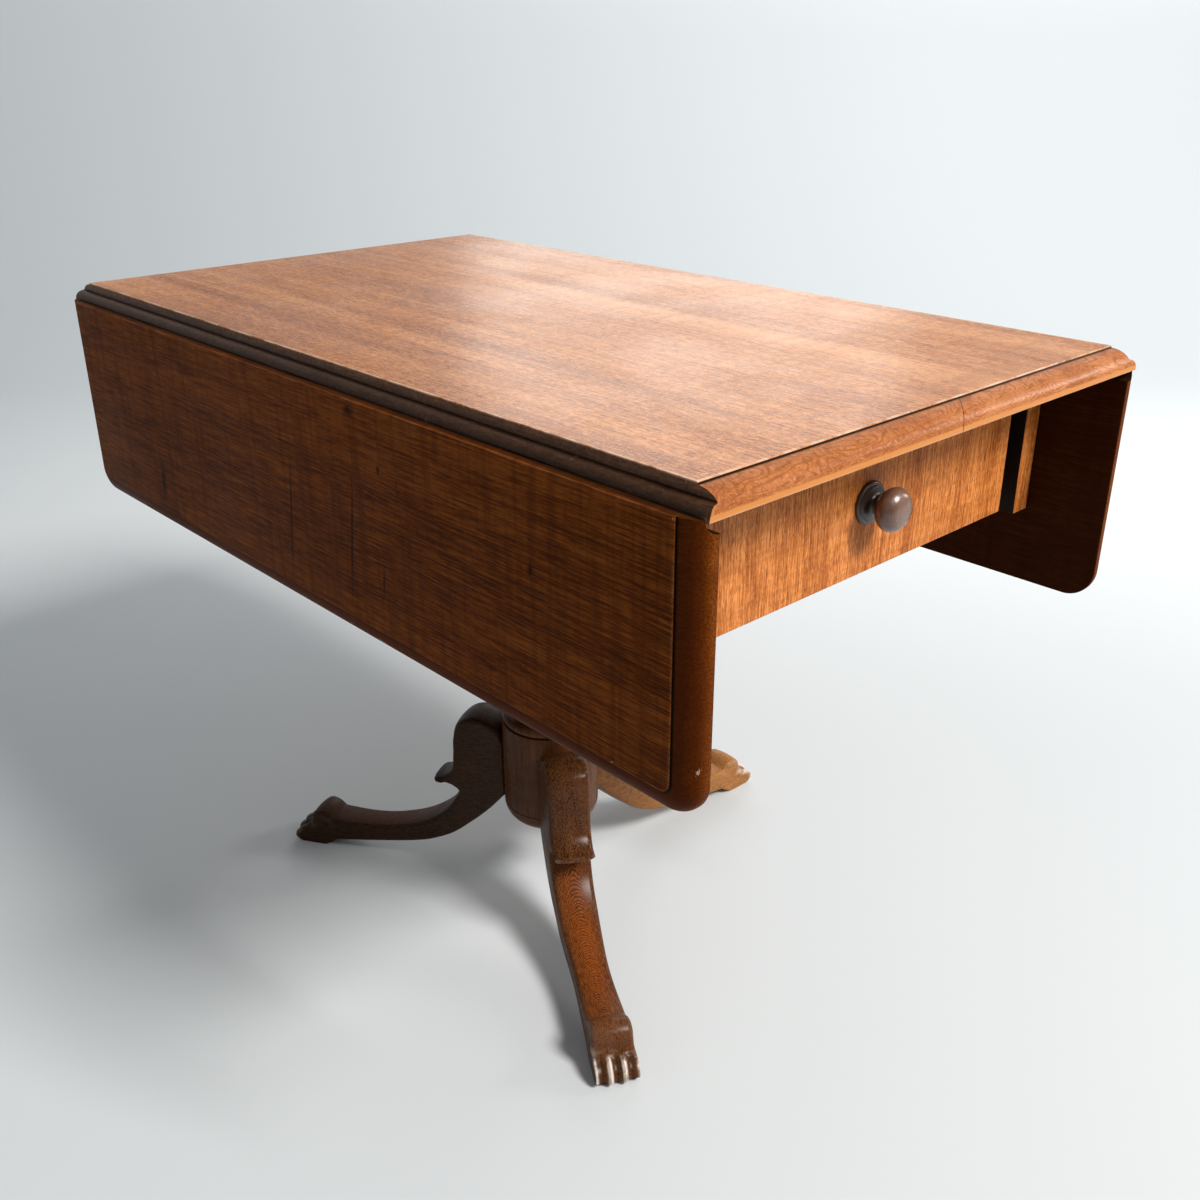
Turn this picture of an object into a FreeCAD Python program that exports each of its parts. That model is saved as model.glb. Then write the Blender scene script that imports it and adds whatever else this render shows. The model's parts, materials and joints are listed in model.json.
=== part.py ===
"""Pembroke table: a fixed top with two drop leaves on rule joints, one drawer and a tripod pedestal.

Millimetres, +Z up. The origin is on the floor at the axis of the pedestal. The drawer end faces -Y,
and the leaf hinges run along Y. Leaves hang and the drawer is shut.
"""
import FreeCAD, Part
import math
import os

V = FreeCAD.Vector
UP = V(0, 0, 1)

# Overall sizes
TABLE_HEIGHT = 715.0
TOP_LENGTH = 1000.0
TOP_WIDTH = 550.0
TOP_THICK = 21.0
LEAF_WIDTH = 230.0
LEAF_QUIRK_RADIUS = 9.0

# Thumbnail moulding round the free edges
MOULD_REACH = 21.0
MOULD_SQUARE = 9.5
MOULD_QUIRK = 2.0
ROUND_PULL_SHARE = 0.5523

# Rule joint: square fillet, ledge, then a bead that turns inside the leaf's cove
JOINT_BACK = 1.5
JOINT_RADIUS = 6.5
JOINT_LEDGE = 0.8
JOINT_STEP = 0.5
JOINT_COVE_GAP = 0.35
JOINT_FACE_GAP = 0.4

# Back-flap hinges, three to a leaf
HINGE_LENGTH = 52.0
HINGE_PLATE_THICK = 2.0
HINGE_TOP_FLAP = 26.0
HINGE_LEAF_FLAP = 48.0
HINGE_BARREL_RADIUS = 2.6
HINGE_PIN_RADIUS = 1.2
HINGE_PIN_GAP = 0.05
HINGE_KNUCKLE_GAP = 0.3
HINGE_RECESS_GAP = 0.4
HINGE_KNUCKLE_SHARE = 0.36
HINGE_PLACE_SHARES = (-0.66, 0.0, 0.66)
HINGE_SCREW_SHARES = (-0.32, 0.0, 0.32)

# Countersunk screws
SCREW_RADIUS = 1.5
SCREW_HEAD_RADIUS = 3.0
SCREW_HEAD_DEEP = 1.5
SCREW_LENGTH = 13.0
SCREW_GAP = 0.05

# Frame under the top
END_OVERHANG = 79.0
LEAF_CLEARANCE = 2.8
RAIL_DEPTH = 151.0
OUTER_RAIL_THICK = 24.0
INNER_RAIL_THICK = 27.0
INNER_RAIL_SETBACK = 40.0
BACK_RAIL_THICK = 22.0
BEARER_WIDTH = 44.0
BEARER_THICK = 18.0
CROSS_BEARER_WIDTH = 46.0
CROSS_BEARER_THICK = 26.0
CROSS_BEARER_SPACING = 190.0

# Fly brackets in the outer rails
BRACKET_LENGTH = 178.0
BRACKET_CENTRE_RAIL = 140.0
BRACKET_GAP = 0.5
BRACKET_FINGERS = 5
BRACKET_PIN_RADIUS = 3.0
BRACKET_PIN_GAP = 0.05
BRACKET_GRIP = 22.0

# Drawer
DRAWER_FRONT_THICK = 22.0
DRAWER_FRONT_DROP = 1.5
DRAWER_FRONT_LIP = 9.5
DRAWER_SIDE_GAP = 1.3
DRAWER_SIDE_THICK = 10.0
DRAWER_BACK_THICK = 9.0
DRAWER_BOTTOM_THICK = 6.0
DRAWER_BOTTOM_RISE = 6.0
DRAWER_GROOVE_DEEP = 5.0
DRAWER_LENGTH = 560.0
DRAWER_SIDE_TOP_GAP = 3.0
DRAWER_RUN_GAP = 0.3
DRAWER_TAILS = 3
DRAWER_TAIL_DEEP = 14.0
DRAWER_TAIL_SPLAY = 3.0
DRAWER_TAIL_SHARE = 0.5
DRAWER_FIT = 0.1
DRAWER_HOUSING = 4.0
RUNNER_WIDTH = 26.0
RUNNER_THICK = 20.0
KICKER_WIDTH = 24.0
KICKER_THICK = 9.0
STOP_LENGTH = 36.0
STOP_WIDTH = 14.0
STOP_HEIGHT = 3.6
STOP_PLACE_SHARE = 0.3

# Turned knob, with shares of the flange, of the waist and of the head
KNOB_RADIUS = 19.4
KNOB_PROJECTION = 37.0
KNOB_FLANGE_RADIUS = 19.0
KNOB_FLANGE_THICK = 6.2
KNOB_NECK_RADIUS = 7.6
KNOB_NECK_OUT = 13.0
KNOB_RIM_SHARES = ((1.0, 0.4), (0.95, 0.62), (0.84, 0.7))
KNOB_STEP_SHARES = ((0.84, 0.7), (0.78, 1.0))
KNOB_WAIST_SHARES = (0.14, 0.4)
KNOB_HEAD_SHARES = ((0.74, 0.14), (1.0, 0.52), (0.72, 0.88))
KNOB_SPIGOT_RADIUS = 6.0
KNOB_SPIGOT_LENGTH = 18.0
KNOB_SPIGOT_GAP = 0.05
KNOB_HEIGHT_SHARE = 0.46

# Joints, glue blocks and screws of the frame
TENON_DEEP = 12.0
GLUE_BLOCK_WIDTH = 24.0
GLUE_BLOCK_LENGTH = 70.0
GLUE_BLOCK_SHARES = (-0.5, 0.0, 0.5)
KICKER_SCREW_SHARES = (-0.8, -0.27, 0.27, 0.8)
KICKER_SCREW_LENGTH = 22.0
BLOCK_SCREW_RADIUS = 2.5
BLOCK_SCREW_HEAD_RADIUS = 5.0
BLOCK_SCREW_HEAD_DEEP = 2.5
BLOCK_SCREW_LENGTH = 48.0
BLOCK_SCREW_SHARES = (-0.7, 0.7)

# Pedestal
BLOCK_WIDTH = 270.0
BLOCK_THICK = 28.0
COLUMN_RADIUS = 57.0
COLUMN_SHOULDER = 5.0
CAP_HEIGHT = 24.0
CAP_SPIGOT_RADIUS = 14.0
CAP_SPIGOT_LENGTH = 16.0
CAP_SPIGOT_GAP = 0.05
DRUM_BOTTOM_SHARE = 0.546
COLUMN_BEAD_RADIUS = 6.0
COLUMN_CAP_RADIUS = 56.0
COLUMN_CAP_THICK = 14.0
COLUMN_RING_RADIUS = 4.5
COLUMN_TENON_RADIUS = 26.0
COLUMN_TENON_GAP = 0.05
COLUMN_SHAFT_SHARES = ((0.7, 0.0), (0.92, 0.2), (0.8, 0.48), (0.54, 0.8), (0.5, 1.0))
COLUMN_NECK_SHARES = ((0.5, 0.0), (0.58, 0.45), (0.86, 1.0))
COLUMN_NECK = 46.0

# Legs: sabre legs with a scrolled knee, a rolled ankle and carved toes
LEG_NAMES = ("right_leg", "rear_left_leg", "front_left_leg")
LEG_REACH = 357.0
LEG_HEIGHT = 229.0
LEG_WIDTH = 45.0
LEG_SEAT_GAP = 0.05
LEG_TAIL_DEEP = 16.0
LEG_TAIL_NECK = 18.0
LEG_TAIL_WIDTH = 26.0
LEG_TAIL_GAP = 0.1
LEG_TAIL_TOP_SHARE = 0.86
TOE_GROOVES = 3
TOE_GROOVE_WIDTH = 2.4
TOE_GROOVE_DEEP = 4.0

# Outline of the leg: shares of its reach from the face of the drum, and of its height
KNEE_SHARES = ((-0.023, 0.873), (0.0, 0.943), (0.069, 0.996), (0.136, 0.996), (0.187, 0.952), (0.21, 0.852),
               (0.215, 0.748), (0.227, 0.652), (0.263, 0.607), (0.307, 0.582))
LIP_SHARES = ((0.307, 0.582), (0.311, 0.572), (0.303, 0.561))
NOTCH_SHARES = ((0.303, 0.561), (0.237, 0.567), (0.204, 0.552), (0.193, 0.526))
LEG_TOP_SHARES = ((0.193, 0.526), (0.254, 0.404), (0.363, 0.291), (0.5, 0.222), (0.663, 0.185),
                  (0.797, 0.181))
ROLL_SHARES = ((0.797, 0.181), (0.826, 0.211), (0.867, 0.222), (0.9, 0.196), (0.916, 0.126))
TOE_SHARES = ((0.916, 0.126), (0.96, 0.107), (0.994, 0.065), (0.998, 0.022), (0.97, 0.0))
SOLE_SHARES = ((0.97, 0.0), (0.843, 0.0))
HEEL_SHARES = ((0.843, 0.0), (0.82, 0.015), (0.793, 0.041))
UNDERSIDE_SHARES = ((0.793, 0.041), (0.576, 0.087), (0.456, 0.122), (0.32, 0.178), (0.227, 0.243),
                    (0.143, 0.335), (0.06, 0.439), (-0.023, 0.565))
LEG_PLAN_SHARES = ((-0.1, 1.02), (0.31, 1.0), (0.57, 0.9), (0.81, 0.98), (1.03, 1.03))

# Length that every cut runs past the wood it goes through
OVERRUN = 2.0

# Levels and places worked out from the sizes above
TOP_UNDERSIDE = TABLE_HEIGHT - TOP_THICK
ARRIS_X = TOP_WIDTH / 2
TOP_END = TOP_LENGTH / 2
ARRIS_END = TOP_END - MOULD_REACH
MOULD_DROP = TOP_THICK - MOULD_SQUARE
LEAF_CORNER_RADIUS = LEAF_QUIRK_RADIUS + MOULD_REACH
JOINT_DEPTH = TOP_THICK - JOINT_BACK
JOINT_FILLET = JOINT_DEPTH - JOINT_RADIUS
AXIS_X = ARRIS_X + JOINT_LEDGE
AXIS_Z = TABLE_HEIGHT - JOINT_DEPTH
BEAD_RADIUS = JOINT_RADIUS - JOINT_STEP
COVE_RADIUS = JOINT_RADIUS + JOINT_COVE_GAP
LEAF_EDGE_X = ARRIS_X + JOINT_FACE_GAP
LEAF_END_X = LEAF_EDGE_X + LEAF_WIDTH
FRAME_END = TOP_END - END_OVERHANG
FRAME_FACE = AXIS_X - JOINT_BACK - LEAF_CLEARANCE
RAIL_BOTTOM = TOP_UNDERSIDE - RAIL_DEPTH
OUTER_RAIL_INNER = FRAME_FACE - OUTER_RAIL_THICK
RAIL_INNER = OUTER_RAIL_INNER - INNER_RAIL_THICK
RAIL_FRONT = -FRAME_END + INNER_RAIL_SETBACK
RAIL_REAR = FRAME_END - BACK_RAIL_THICK
RUNNER_TOP = RAIL_BOTTOM + CROSS_BEARER_THICK + DRAWER_RUN_GAP
DRAWER_HALF = RAIL_INNER - DRAWER_SIDE_GAP
DRAWER_FRONT_TOP = TOP_UNDERSIDE - DRAWER_FRONT_DROP
DRAWER_FRONT_BOTTOM = RAIL_BOTTOM + DRAWER_FRONT_LIP
DRAWER_FACE = -FRAME_END
DRAWER_INSIDE = DRAWER_FACE + DRAWER_FRONT_THICK
DRAWER_REAR = DRAWER_FACE + DRAWER_LENGTH
SIDE_BOTTOM = RUNNER_TOP + DRAWER_RUN_GAP
SIDE_TOP = TOP_UNDERSIDE - KICKER_THICK - DRAWER_SIDE_TOP_GAP
SIDE_OUTER = DRAWER_HALF - DRAWER_RUN_GAP
SIDE_INNER = SIDE_OUTER - DRAWER_SIDE_THICK
BOTTOM_LOW = SIDE_BOTTOM + DRAWER_BOTTOM_RISE
BOTTOM_HIGH = BOTTOM_LOW + DRAWER_BOTTOM_THICK
TOP_SCREW_X = AXIS_X - HINGE_TOP_FLAP / 2
LEAF_SCREW_X = AXIS_X + (HINGE_LEAF_FLAP + COVE_RADIUS) / 2
FLAP_TOP = TOP_UNDERSIDE + HINGE_PLATE_THICK
BRACKET_REST = BRACKET_CENTRE_RAIL / 2
BRACKET_PIVOT = BRACKET_REST + BRACKET_LENGTH
KNUCKLE_X = FRAME_FACE - OUTER_RAIL_THICK / 2
FINGER = RAIL_DEPTH / BRACKET_FINGERS
CROSS_BEARER_Y = CROSS_BEARER_SPACING / 2
BEARER_FACE = DRAWER_INSIDE + DRAWER_SIDE_GAP
BEARER_BACK = BEARER_FACE + BEARER_WIDTH
BEARER_HALF = RAIL_INNER + TENON_DEEP
KNOB_Z = DRAWER_FRONT_BOTTOM + (DRAWER_FRONT_TOP - DRAWER_FRONT_BOTTOM) * KNOB_HEIGHT_SHARE
BLOCK_BOTTOM = RAIL_BOTTOM - BLOCK_THICK
DRUM_BOTTOM = LEG_HEIGHT * DRUM_BOTTOM_SHARE
DRUM_TOP = LEG_HEIGHT + COLUMN_SHOULDER


def save(name, shape):
    """Write one node."""
    shape.exportStep("parts/" + name + ".step")


def box(x0, x1, y0, y1, z0, z1):
    """Box between two corners."""
    return Part.makeBox(x1 - x0, y1 - y0, z1 - z0, V(x0, y0, z0))


def rod(radius, start, direction, length):
    """Cylinder from a point along a direction."""
    return Part.makeCylinder(radius, length, start, direction)


def lines(points):
    """Straight edges through points."""
    return [Part.makeLine(a, b) for a, b in zip(points, points[1:])]


def spline(points):
    """One smooth edge through points."""
    curve = Part.BSplineCurve()
    curve.interpolate(points)
    return curve.toShape()


def face(edges):
    """Flat face inside a closed run of edges."""
    return Part.Face(Part.Wire(Part.__sortEdges__(edges)))


def arc(centre, radius, start, middle, end):
    """Arc about a centre in an XZ plane, through three angles in degrees."""
    points = []
    for angle in (start, middle, end):
        turn = math.radians(angle)
        points.append(centre + V(radius * math.cos(turn), 0, radius * math.sin(turn)))
    return Part.Arc(*points).toShape()


def mirror_x(shape):
    """The same shape on the other side of the table."""
    return shape.mirror(V(0, 0, 0), V(1, 0, 0))


def mirror_y(shape):
    """The same shape at the other end of the table."""
    return shape.mirror(V(0, 0, 0), V(0, 1, 0))


def hang(shape):
    """Turn a raised right leaf, or a piece on it, down about its hinge."""
    turned = shape.copy()
    turned.rotate(V(AXIS_X, 0, AXIS_Z), V(0, 1, 0), 90)
    return turned


def screw(tip, direction, radius, head_radius, head_deep, length):
    """Countersunk screw whose head is flush at its start and whose shank runs along direction."""
    head = Part.makeCone(head_radius, radius, head_deep, tip, direction)
    return head.fuse(rod(radius, tip, direction, length)).removeSplitter()


def mould_cut(edge, out):
    """Section of the wood that the thumbnail moulding takes off: edge is on the top face, out leaves it."""
    def at(inset, depth):
        return edge - out * inset - UP * depth

    height = MOULD_DROP - MOULD_QUIRK
    curve = Part.BezierCurve()
    curve.setPoles([at(0, MOULD_DROP), at(0, MOULD_DROP - height * ROUND_PULL_SHARE),
                    at(MOULD_REACH * (1 - ROUND_PULL_SHARE), MOULD_QUIRK), at(MOULD_REACH, MOULD_QUIRK)])
    outline = lines([at(MOULD_REACH, MOULD_QUIRK), at(MOULD_REACH, -OVERRUN), at(-OVERRUN, -OVERRUN),
                     at(-OVERRUN, MOULD_DROP), at(0, MOULD_DROP)])
    return face(outline + [curve.toShape()])


def hinge_places():
    """Middle of each hinge along the joint."""
    return [share * ARRIS_END for share in HINGE_PLACE_SHARES]


def screw_places():
    """Every hinge screw's place along the joint."""
    return [y + share * HINGE_LENGTH for y in hinge_places() for share in HINGE_SCREW_SHARES]


def hinge_screw(x, y, gap=0.0):
    """Screw driven up through a hinge flap into the underside of the top or a raised leaf."""
    return screw(V(x, y, TOP_UNDERSIDE), UP, SCREW_RADIUS + gap, SCREW_HEAD_RADIUS + gap,
                 SCREW_HEAD_DEEP, SCREW_LENGTH + gap)


def hinge_flap(y, inner, outer, ends):
    """Flap of one hinge with its share of the barrel: the end knuckles, or the middle one."""
    low = y - HINGE_LENGTH / 2
    high = y + HINGE_LENGTH / 2
    middle = HINGE_LENGTH * HINGE_KNUCKLE_SHARE / 2
    axis = V(AXIS_X, low, AXIS_Z)
    along = V(0, 1, 0)
    flap = box(inner, outer, low, high, TOP_UNDERSIDE, FLAP_TOP)
    flap = flap.fuse(rod(HINGE_BARREL_RADIUS, axis, along, HINGE_LENGTH))
    room = HINGE_BARREL_RADIUS + HINGE_RECESS_GAP
    near = AXIS_X - room
    far = AXIS_X + room
    under = AXIS_Z - room
    over = AXIS_Z + room
    if ends:
        flap = flap.cut(box(near, far, y - middle, y + middle, under, over))
    else:
        inset = middle - HINGE_KNUCKLE_GAP
        flap = flap.cut(box(near, far, low - OVERRUN, y - inset, under, over))
        flap = flap.cut(box(near, far, y + inset, high + OVERRUN, under, over))
    hole = HINGE_PIN_RADIUS if ends else HINGE_PIN_RADIUS + HINGE_PIN_GAP
    return flap.cut(rod(hole, axis - along * OVERRUN, along, HINGE_LENGTH + OVERRUN * 2))


def hinge_set(kind):
    """All of one kind of hinge piece along the right joint, as it lies with the leaf raised."""
    solids = []
    for y in hinge_places():
        places = [y + share * HINGE_LENGTH for share in HINGE_SCREW_SHARES]
        if kind == "top_flap":
            piece = hinge_flap(y, AXIS_X - HINGE_TOP_FLAP, AXIS_X, True)
            for place in places:
                piece = piece.cut(hinge_screw(TOP_SCREW_X, place, SCREW_GAP))
        elif kind == "leaf_flap":
            piece = hinge_flap(y, AXIS_X, AXIS_X + HINGE_LEAF_FLAP, False)
            for place in places:
                piece = piece.cut(hinge_screw(LEAF_SCREW_X, place, SCREW_GAP))
        else:
            piece = rod(HINGE_PIN_RADIUS, V(AXIS_X, y - HINGE_LENGTH / 2, AXIS_Z), V(0, 1, 0), HINGE_LENGTH)
        solids.append(piece)
    return Part.makeCompound(solids)


def hinge_screws(x):
    """The screws of one row of hinge flaps."""
    return Part.makeCompound([hinge_screw(x, y) for y in screw_places()])


def hinge_housing(y):
    """Wood cut from the right edge of the top for one hinge: its flap, barrel and the leaf flap's swing."""
    low = y - HINGE_LENGTH / 2 - HINGE_RECESS_GAP
    high = y + HINGE_LENGTH / 2 + HINGE_RECESS_GAP
    room = HINGE_BARREL_RADIUS + HINGE_RECESS_GAP
    under = TOP_UNDERSIDE - OVERRUN
    flap = box(AXIS_X - HINGE_TOP_FLAP, AXIS_X, low, high, under, FLAP_TOP)
    swing = box(AXIS_X, AXIS_X + JOINT_RADIUS, low, high, under, FLAP_TOP + HINGE_RECESS_GAP)
    barrel = rod(room, V(AXIS_X, low, AXIS_Z), V(0, 1, 0), high - low)
    return flap.fuse([swing, barrel])


def top_edge():
    """Right rule-joint edge of the top, from the top arris down to the underside."""
    ledge = TABLE_HEIGHT - JOINT_FILLET
    drop = math.degrees(math.asin((AXIS_Z - TOP_UNDERSIDE) / BEAD_RADIUS))
    bead = arc(V(AXIS_X, 0, AXIS_Z), BEAD_RADIUS, 90, (90 - drop) / 2, -drop)
    square = lines([V(ARRIS_X, 0, TABLE_HEIGHT), V(ARRIS_X, 0, ledge), V(AXIS_X, 0, ledge),
                    V(AXIS_X, 0, ledge - JOINT_STEP)])
    return square + [bead], V(AXIS_X + BEAD_RADIUS * math.cos(math.radians(drop)), 0, TOP_UNDERSIDE)


def top_board():
    """Fixed top: rule-joint edges along its length and thumbnail moulding at its ends."""
    edges, toe = top_edge()
    left = [mirror_x(edge) for edge in edges]
    upper = lines([V(-ARRIS_X, 0, TABLE_HEIGHT), V(ARRIS_X, 0, TABLE_HEIGHT)])
    lower = lines([V(-toe.x, 0, toe.z), toe])
    board = face(edges + left + upper + lower).extrude(V(0, TOP_LENGTH, 0))
    board.translate(V(0, -TOP_END, 0))
    wide = toe.x + OVERRUN
    cutter = mould_cut(V(-wide, TOP_END, TABLE_HEIGHT), V(0, 1, 0)).extrude(V(wide * 2, 0, 0))
    board = board.cut([cutter, mirror_y(cutter)])
    housings = [hinge_housing(y) for y in hinge_places()]
    holes = [hinge_screw(TOP_SCREW_X, y, SCREW_GAP) for y in screw_places()]
    cuts = housings + holes + kicker_screws(SCREW_GAP)
    return board.cut(cuts + [mirror_x(cut) for cut in cuts])


def leaf_plan():
    """Plan of the raised right leaf, with two rounded outer corners."""
    radius = LEAF_CORNER_RADIUS
    bend = radius * (1 - math.sqrt(0.5))
    corner = V(LEAF_END_X, TOP_END, TOP_UNDERSIDE)
    turn = Part.Arc(corner - V(radius, 0, 0), corner - V(bend, bend, 0), corner - V(0, radius, 0)).toShape()
    other = mirror_y(turn)
    ends = [V(LEAF_END_X - radius, TOP_END, TOP_UNDERSIDE), V(AXIS_X - JOINT_RADIUS, TOP_END, TOP_UNDERSIDE)]
    back = [V(p.x, -p.y, p.z) for p in reversed(ends)]
    side = Part.makeLine(corner - V(0, radius, 0), V(LEAF_END_X, radius - TOP_END, TOP_UNDERSIDE))
    return face(lines(ends + back) + [turn, other, side])


def leaf_mould():
    """Cutters for the moulding round the three free edges of the raised right leaf."""
    radius = LEAF_CORNER_RADIUS
    start = AXIS_X - JOINT_RADIUS
    end = mould_cut(V(start, TOP_END, TABLE_HEIGHT), V(0, 1, 0))
    end = end.extrude(V(LEAF_END_X - radius - start, 0, 0))
    corner = mould_cut(V(LEAF_END_X - radius, TOP_END, TABLE_HEIGHT), V(0, 1, 0))
    corner = corner.revolve(V(LEAF_END_X - radius, TOP_END - radius, 0), UP, -90)
    side = mould_cut(V(LEAF_END_X, radius - TOP_END, TABLE_HEIGHT), V(1, 0, 0))
    side = side.extrude(V(0, (TOP_END - radius) * 2, 0))
    return [end, mirror_y(end), corner, mirror_y(corner), side]


def leaf_raised():
    """Right leaf at table level: lip and cove along the joint, moulding on the other edges."""
    lip = LEAF_EDGE_X - AXIS_X
    start = math.degrees(math.acos(lip / COVE_RADIUS))
    drop = math.degrees(math.asin((AXIS_Z - TOP_UNDERSIDE) / COVE_RADIUS))
    cove = arc(V(AXIS_X, 0, AXIS_Z), COVE_RADIUS, start, (start - drop) / 2, -drop)
    foot = V(AXIS_X + COVE_RADIUS * math.cos(math.radians(drop)), 0, TOP_UNDERSIDE)
    neck = V(LEAF_EDGE_X, 0, AXIS_Z + COVE_RADIUS * math.sin(math.radians(start)))
    past = LEAF_END_X + OVERRUN
    outline = lines([foot, V(past, 0, TOP_UNDERSIDE), V(past, 0, TABLE_HEIGHT),
                     V(LEAF_EDGE_X, 0, TABLE_HEIGHT), neck])
    board = face(outline + [cove]).extrude(V(0, TOP_LENGTH + OVERRUN * 2, 0))
    board.translate(V(0, -TOP_END - OVERRUN, 0))
    board = board.common(leaf_plan().extrude(UP * TOP_THICK))
    flaps = [box(AXIS_X, AXIS_X + HINGE_LEAF_FLAP, y - HINGE_LENGTH / 2, y + HINGE_LENGTH / 2,
                 TOP_UNDERSIDE - OVERRUN, FLAP_TOP) for y in hinge_places()]
    holes = [hinge_screw(LEAF_SCREW_X, y, SCREW_GAP) for y in screw_places()]
    return board.cut(leaf_mould() + flaps + holes)


def side_rail():
    """Right inner rail, set back behind the drawer front's end, with mortises for the bearers."""
    rail = box(RAIL_INNER, OUTER_RAIL_INNER, RAIL_FRONT, RAIL_REAR, RAIL_BOTTOM, TOP_UNDERSIDE)
    return rail.cut([front_bearer(), cross_bearer(-CROSS_BEARER_Y), cross_bearer(CROSS_BEARER_Y)])


def bracket_grip(gap):
    """Sloping finger hold at the free end of the front right fly bracket."""
    rest = -BRACKET_REST - gap
    foot = [V(OUTER_RAIL_INNER, rest, RAIL_BOTTOM), V(FRAME_FACE, rest, RAIL_BOTTOM),
            V(FRAME_FACE, rest + BRACKET_GRIP, RAIL_BOTTOM), V(OUTER_RAIL_INNER, rest, RAIL_BOTTOM)]
    return face(lines(foot)).extrude(UP * RAIL_DEPTH)


def knuckle_fingers(first, gap):
    """Every other finger of the wooden knuckle, as rounded blocks about the bracket's pin."""
    radius = OUTER_RAIL_THICK / 2
    blocks = []
    for index in range(first, BRACKET_FINGERS, 2):
        low = RAIL_BOTTOM + FINGER * index - gap
        blocks.append(rod(radius + gap, V(KNUCKLE_X, -BRACKET_PIVOT, low), UP, FINGER + gap * 2))
    return blocks


def bracket_pin():
    """Iron pin of the front right fly bracket's knuckle."""
    return rod(BRACKET_PIN_RADIUS, V(KNUCKLE_X, -BRACKET_PIVOT, RAIL_BOTTOM), UP, RAIL_DEPTH)


def pin_hole(gap):
    """Bore for the bracket's pin."""
    start = V(KNUCKLE_X, -BRACKET_PIVOT, RAIL_BOTTOM - OVERRUN)
    return rod(BRACKET_PIN_RADIUS + gap, start, UP, RAIL_DEPTH + OVERRUN * 2)


def fly_bracket():
    """Front right fly bracket, shut in line with the outer rail."""
    body = box(OUTER_RAIL_INNER, FRAME_FACE, -BRACKET_PIVOT, -BRACKET_REST, RAIL_BOTTOM, TOP_UNDERSIDE)
    body = body.fuse(bracket_grip(0.0)).fuse(knuckle_fingers(1, 0.0))
    return body.cut(knuckle_fingers(0, BRACKET_GAP)).cut(pin_hole(BRACKET_PIN_GAP)).removeSplitter()


def outer_rail_end():
    """Front right length of outer rail, with the fixed fingers of the knuckle."""
    body = box(OUTER_RAIL_INNER, FRAME_FACE, -FRAME_END, -BRACKET_PIVOT, RAIL_BOTTOM, TOP_UNDERSIDE)
    body = body.fuse(knuckle_fingers(0, 0.0)).cut(knuckle_fingers(1, BRACKET_GAP))
    return body.cut(pin_hole(0.0)).removeSplitter()


def outer_rail_middle():
    """Fixed length of right outer rail between the two fly brackets."""
    rail = box(OUTER_RAIL_INNER, FRAME_FACE, BRACKET_GAP - BRACKET_REST, BRACKET_REST - BRACKET_GAP,
               RAIL_BOTTOM, TOP_UNDERSIDE)
    grip = bracket_grip(-BRACKET_GAP)
    return rail.cut([grip, mirror_y(grip)])


def cross_bearer(y):
    """Bearer across the frame that the pedestal block is screwed to, tenoned into the inner rails."""
    half = CROSS_BEARER_WIDTH / 2
    return box(-BEARER_HALF, BEARER_HALF, y - half, y + half, RAIL_BOTTOM, RAIL_BOTTOM + CROSS_BEARER_THICK)


def bored_cross_bearer(y):
    """Cross bearer with the holes of the block's screws."""
    return cross_bearer(y).cut([block_screw(*place, SCREW_GAP) for place in block_screw_places()])


def front_bearer():
    """Rail under the drawer, behind the foot of the drawer front, tenoned into the inner rails."""
    return box(-BEARER_HALF, BEARER_HALF, BEARER_FACE, BEARER_BACK, RUNNER_TOP - BEARER_THICK, RUNNER_TOP)


def runner():
    """Right drawer runner, between the front bearer and the back rail, notched over the cross bearers."""
    low = RUNNER_TOP - RUNNER_THICK
    strip = box(RAIL_INNER - RUNNER_WIDTH, RAIL_INNER, BEARER_BACK, RAIL_REAR, low, RUNNER_TOP)
    return strip.cut([cross_bearer(-CROSS_BEARER_Y), cross_bearer(CROSS_BEARER_Y)])


def kicker_screws(gap):
    """Screws up through the right kicker that hold the top down."""
    half = (RAIL_REAR - RAIL_FRONT) / 2
    middle = (RAIL_REAR + RAIL_FRONT) / 2
    start = V(RAIL_INNER - KICKER_WIDTH / 2, middle, TOP_UNDERSIDE - KICKER_THICK)
    return [screw(start + V(0, share * half, 0), UP, SCREW_RADIUS + gap, SCREW_HEAD_RADIUS + gap,
                  SCREW_HEAD_DEEP, KICKER_SCREW_LENGTH + gap) for share in KICKER_SCREW_SHARES]


def kicker():
    """Strip over the right drawer side that stops the open drawer tipping and holds the top."""
    strip = box(RAIL_INNER - KICKER_WIDTH, RAIL_INNER, RAIL_FRONT, RAIL_REAR,
                TOP_UNDERSIDE - KICKER_THICK, TOP_UNDERSIDE)
    return strip.cut(kicker_screws(SCREW_GAP))


def drawer_stops():
    """Two blocks on the front bearer that the drawer front closes against."""
    face_y = DRAWER_INSIDE + DRAWER_RUN_GAP
    half = STOP_LENGTH / 2
    blocks = []
    for side in (-1, 1):
        middle = side * STOP_PLACE_SHARE * RAIL_INNER
        blocks.append(box(middle - half, middle + half, face_y, face_y + STOP_WIDTH,
                          RUNNER_TOP, RUNNER_TOP + STOP_HEIGHT))
    return Part.makeCompound(blocks)


def glue_blocks():
    """Blocks rubbed into the corner between the back rail and the top."""
    half = GLUE_BLOCK_LENGTH / 2
    blocks = []
    for share in GLUE_BLOCK_SHARES:
        middle = share * RAIL_INNER
        blocks.append(box(middle - half, middle + half, RAIL_REAR - GLUE_BLOCK_WIDTH, RAIL_REAR,
                          TOP_UNDERSIDE - GLUE_BLOCK_WIDTH, TOP_UNDERSIDE))
    return Part.makeCompound(blocks)


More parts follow.
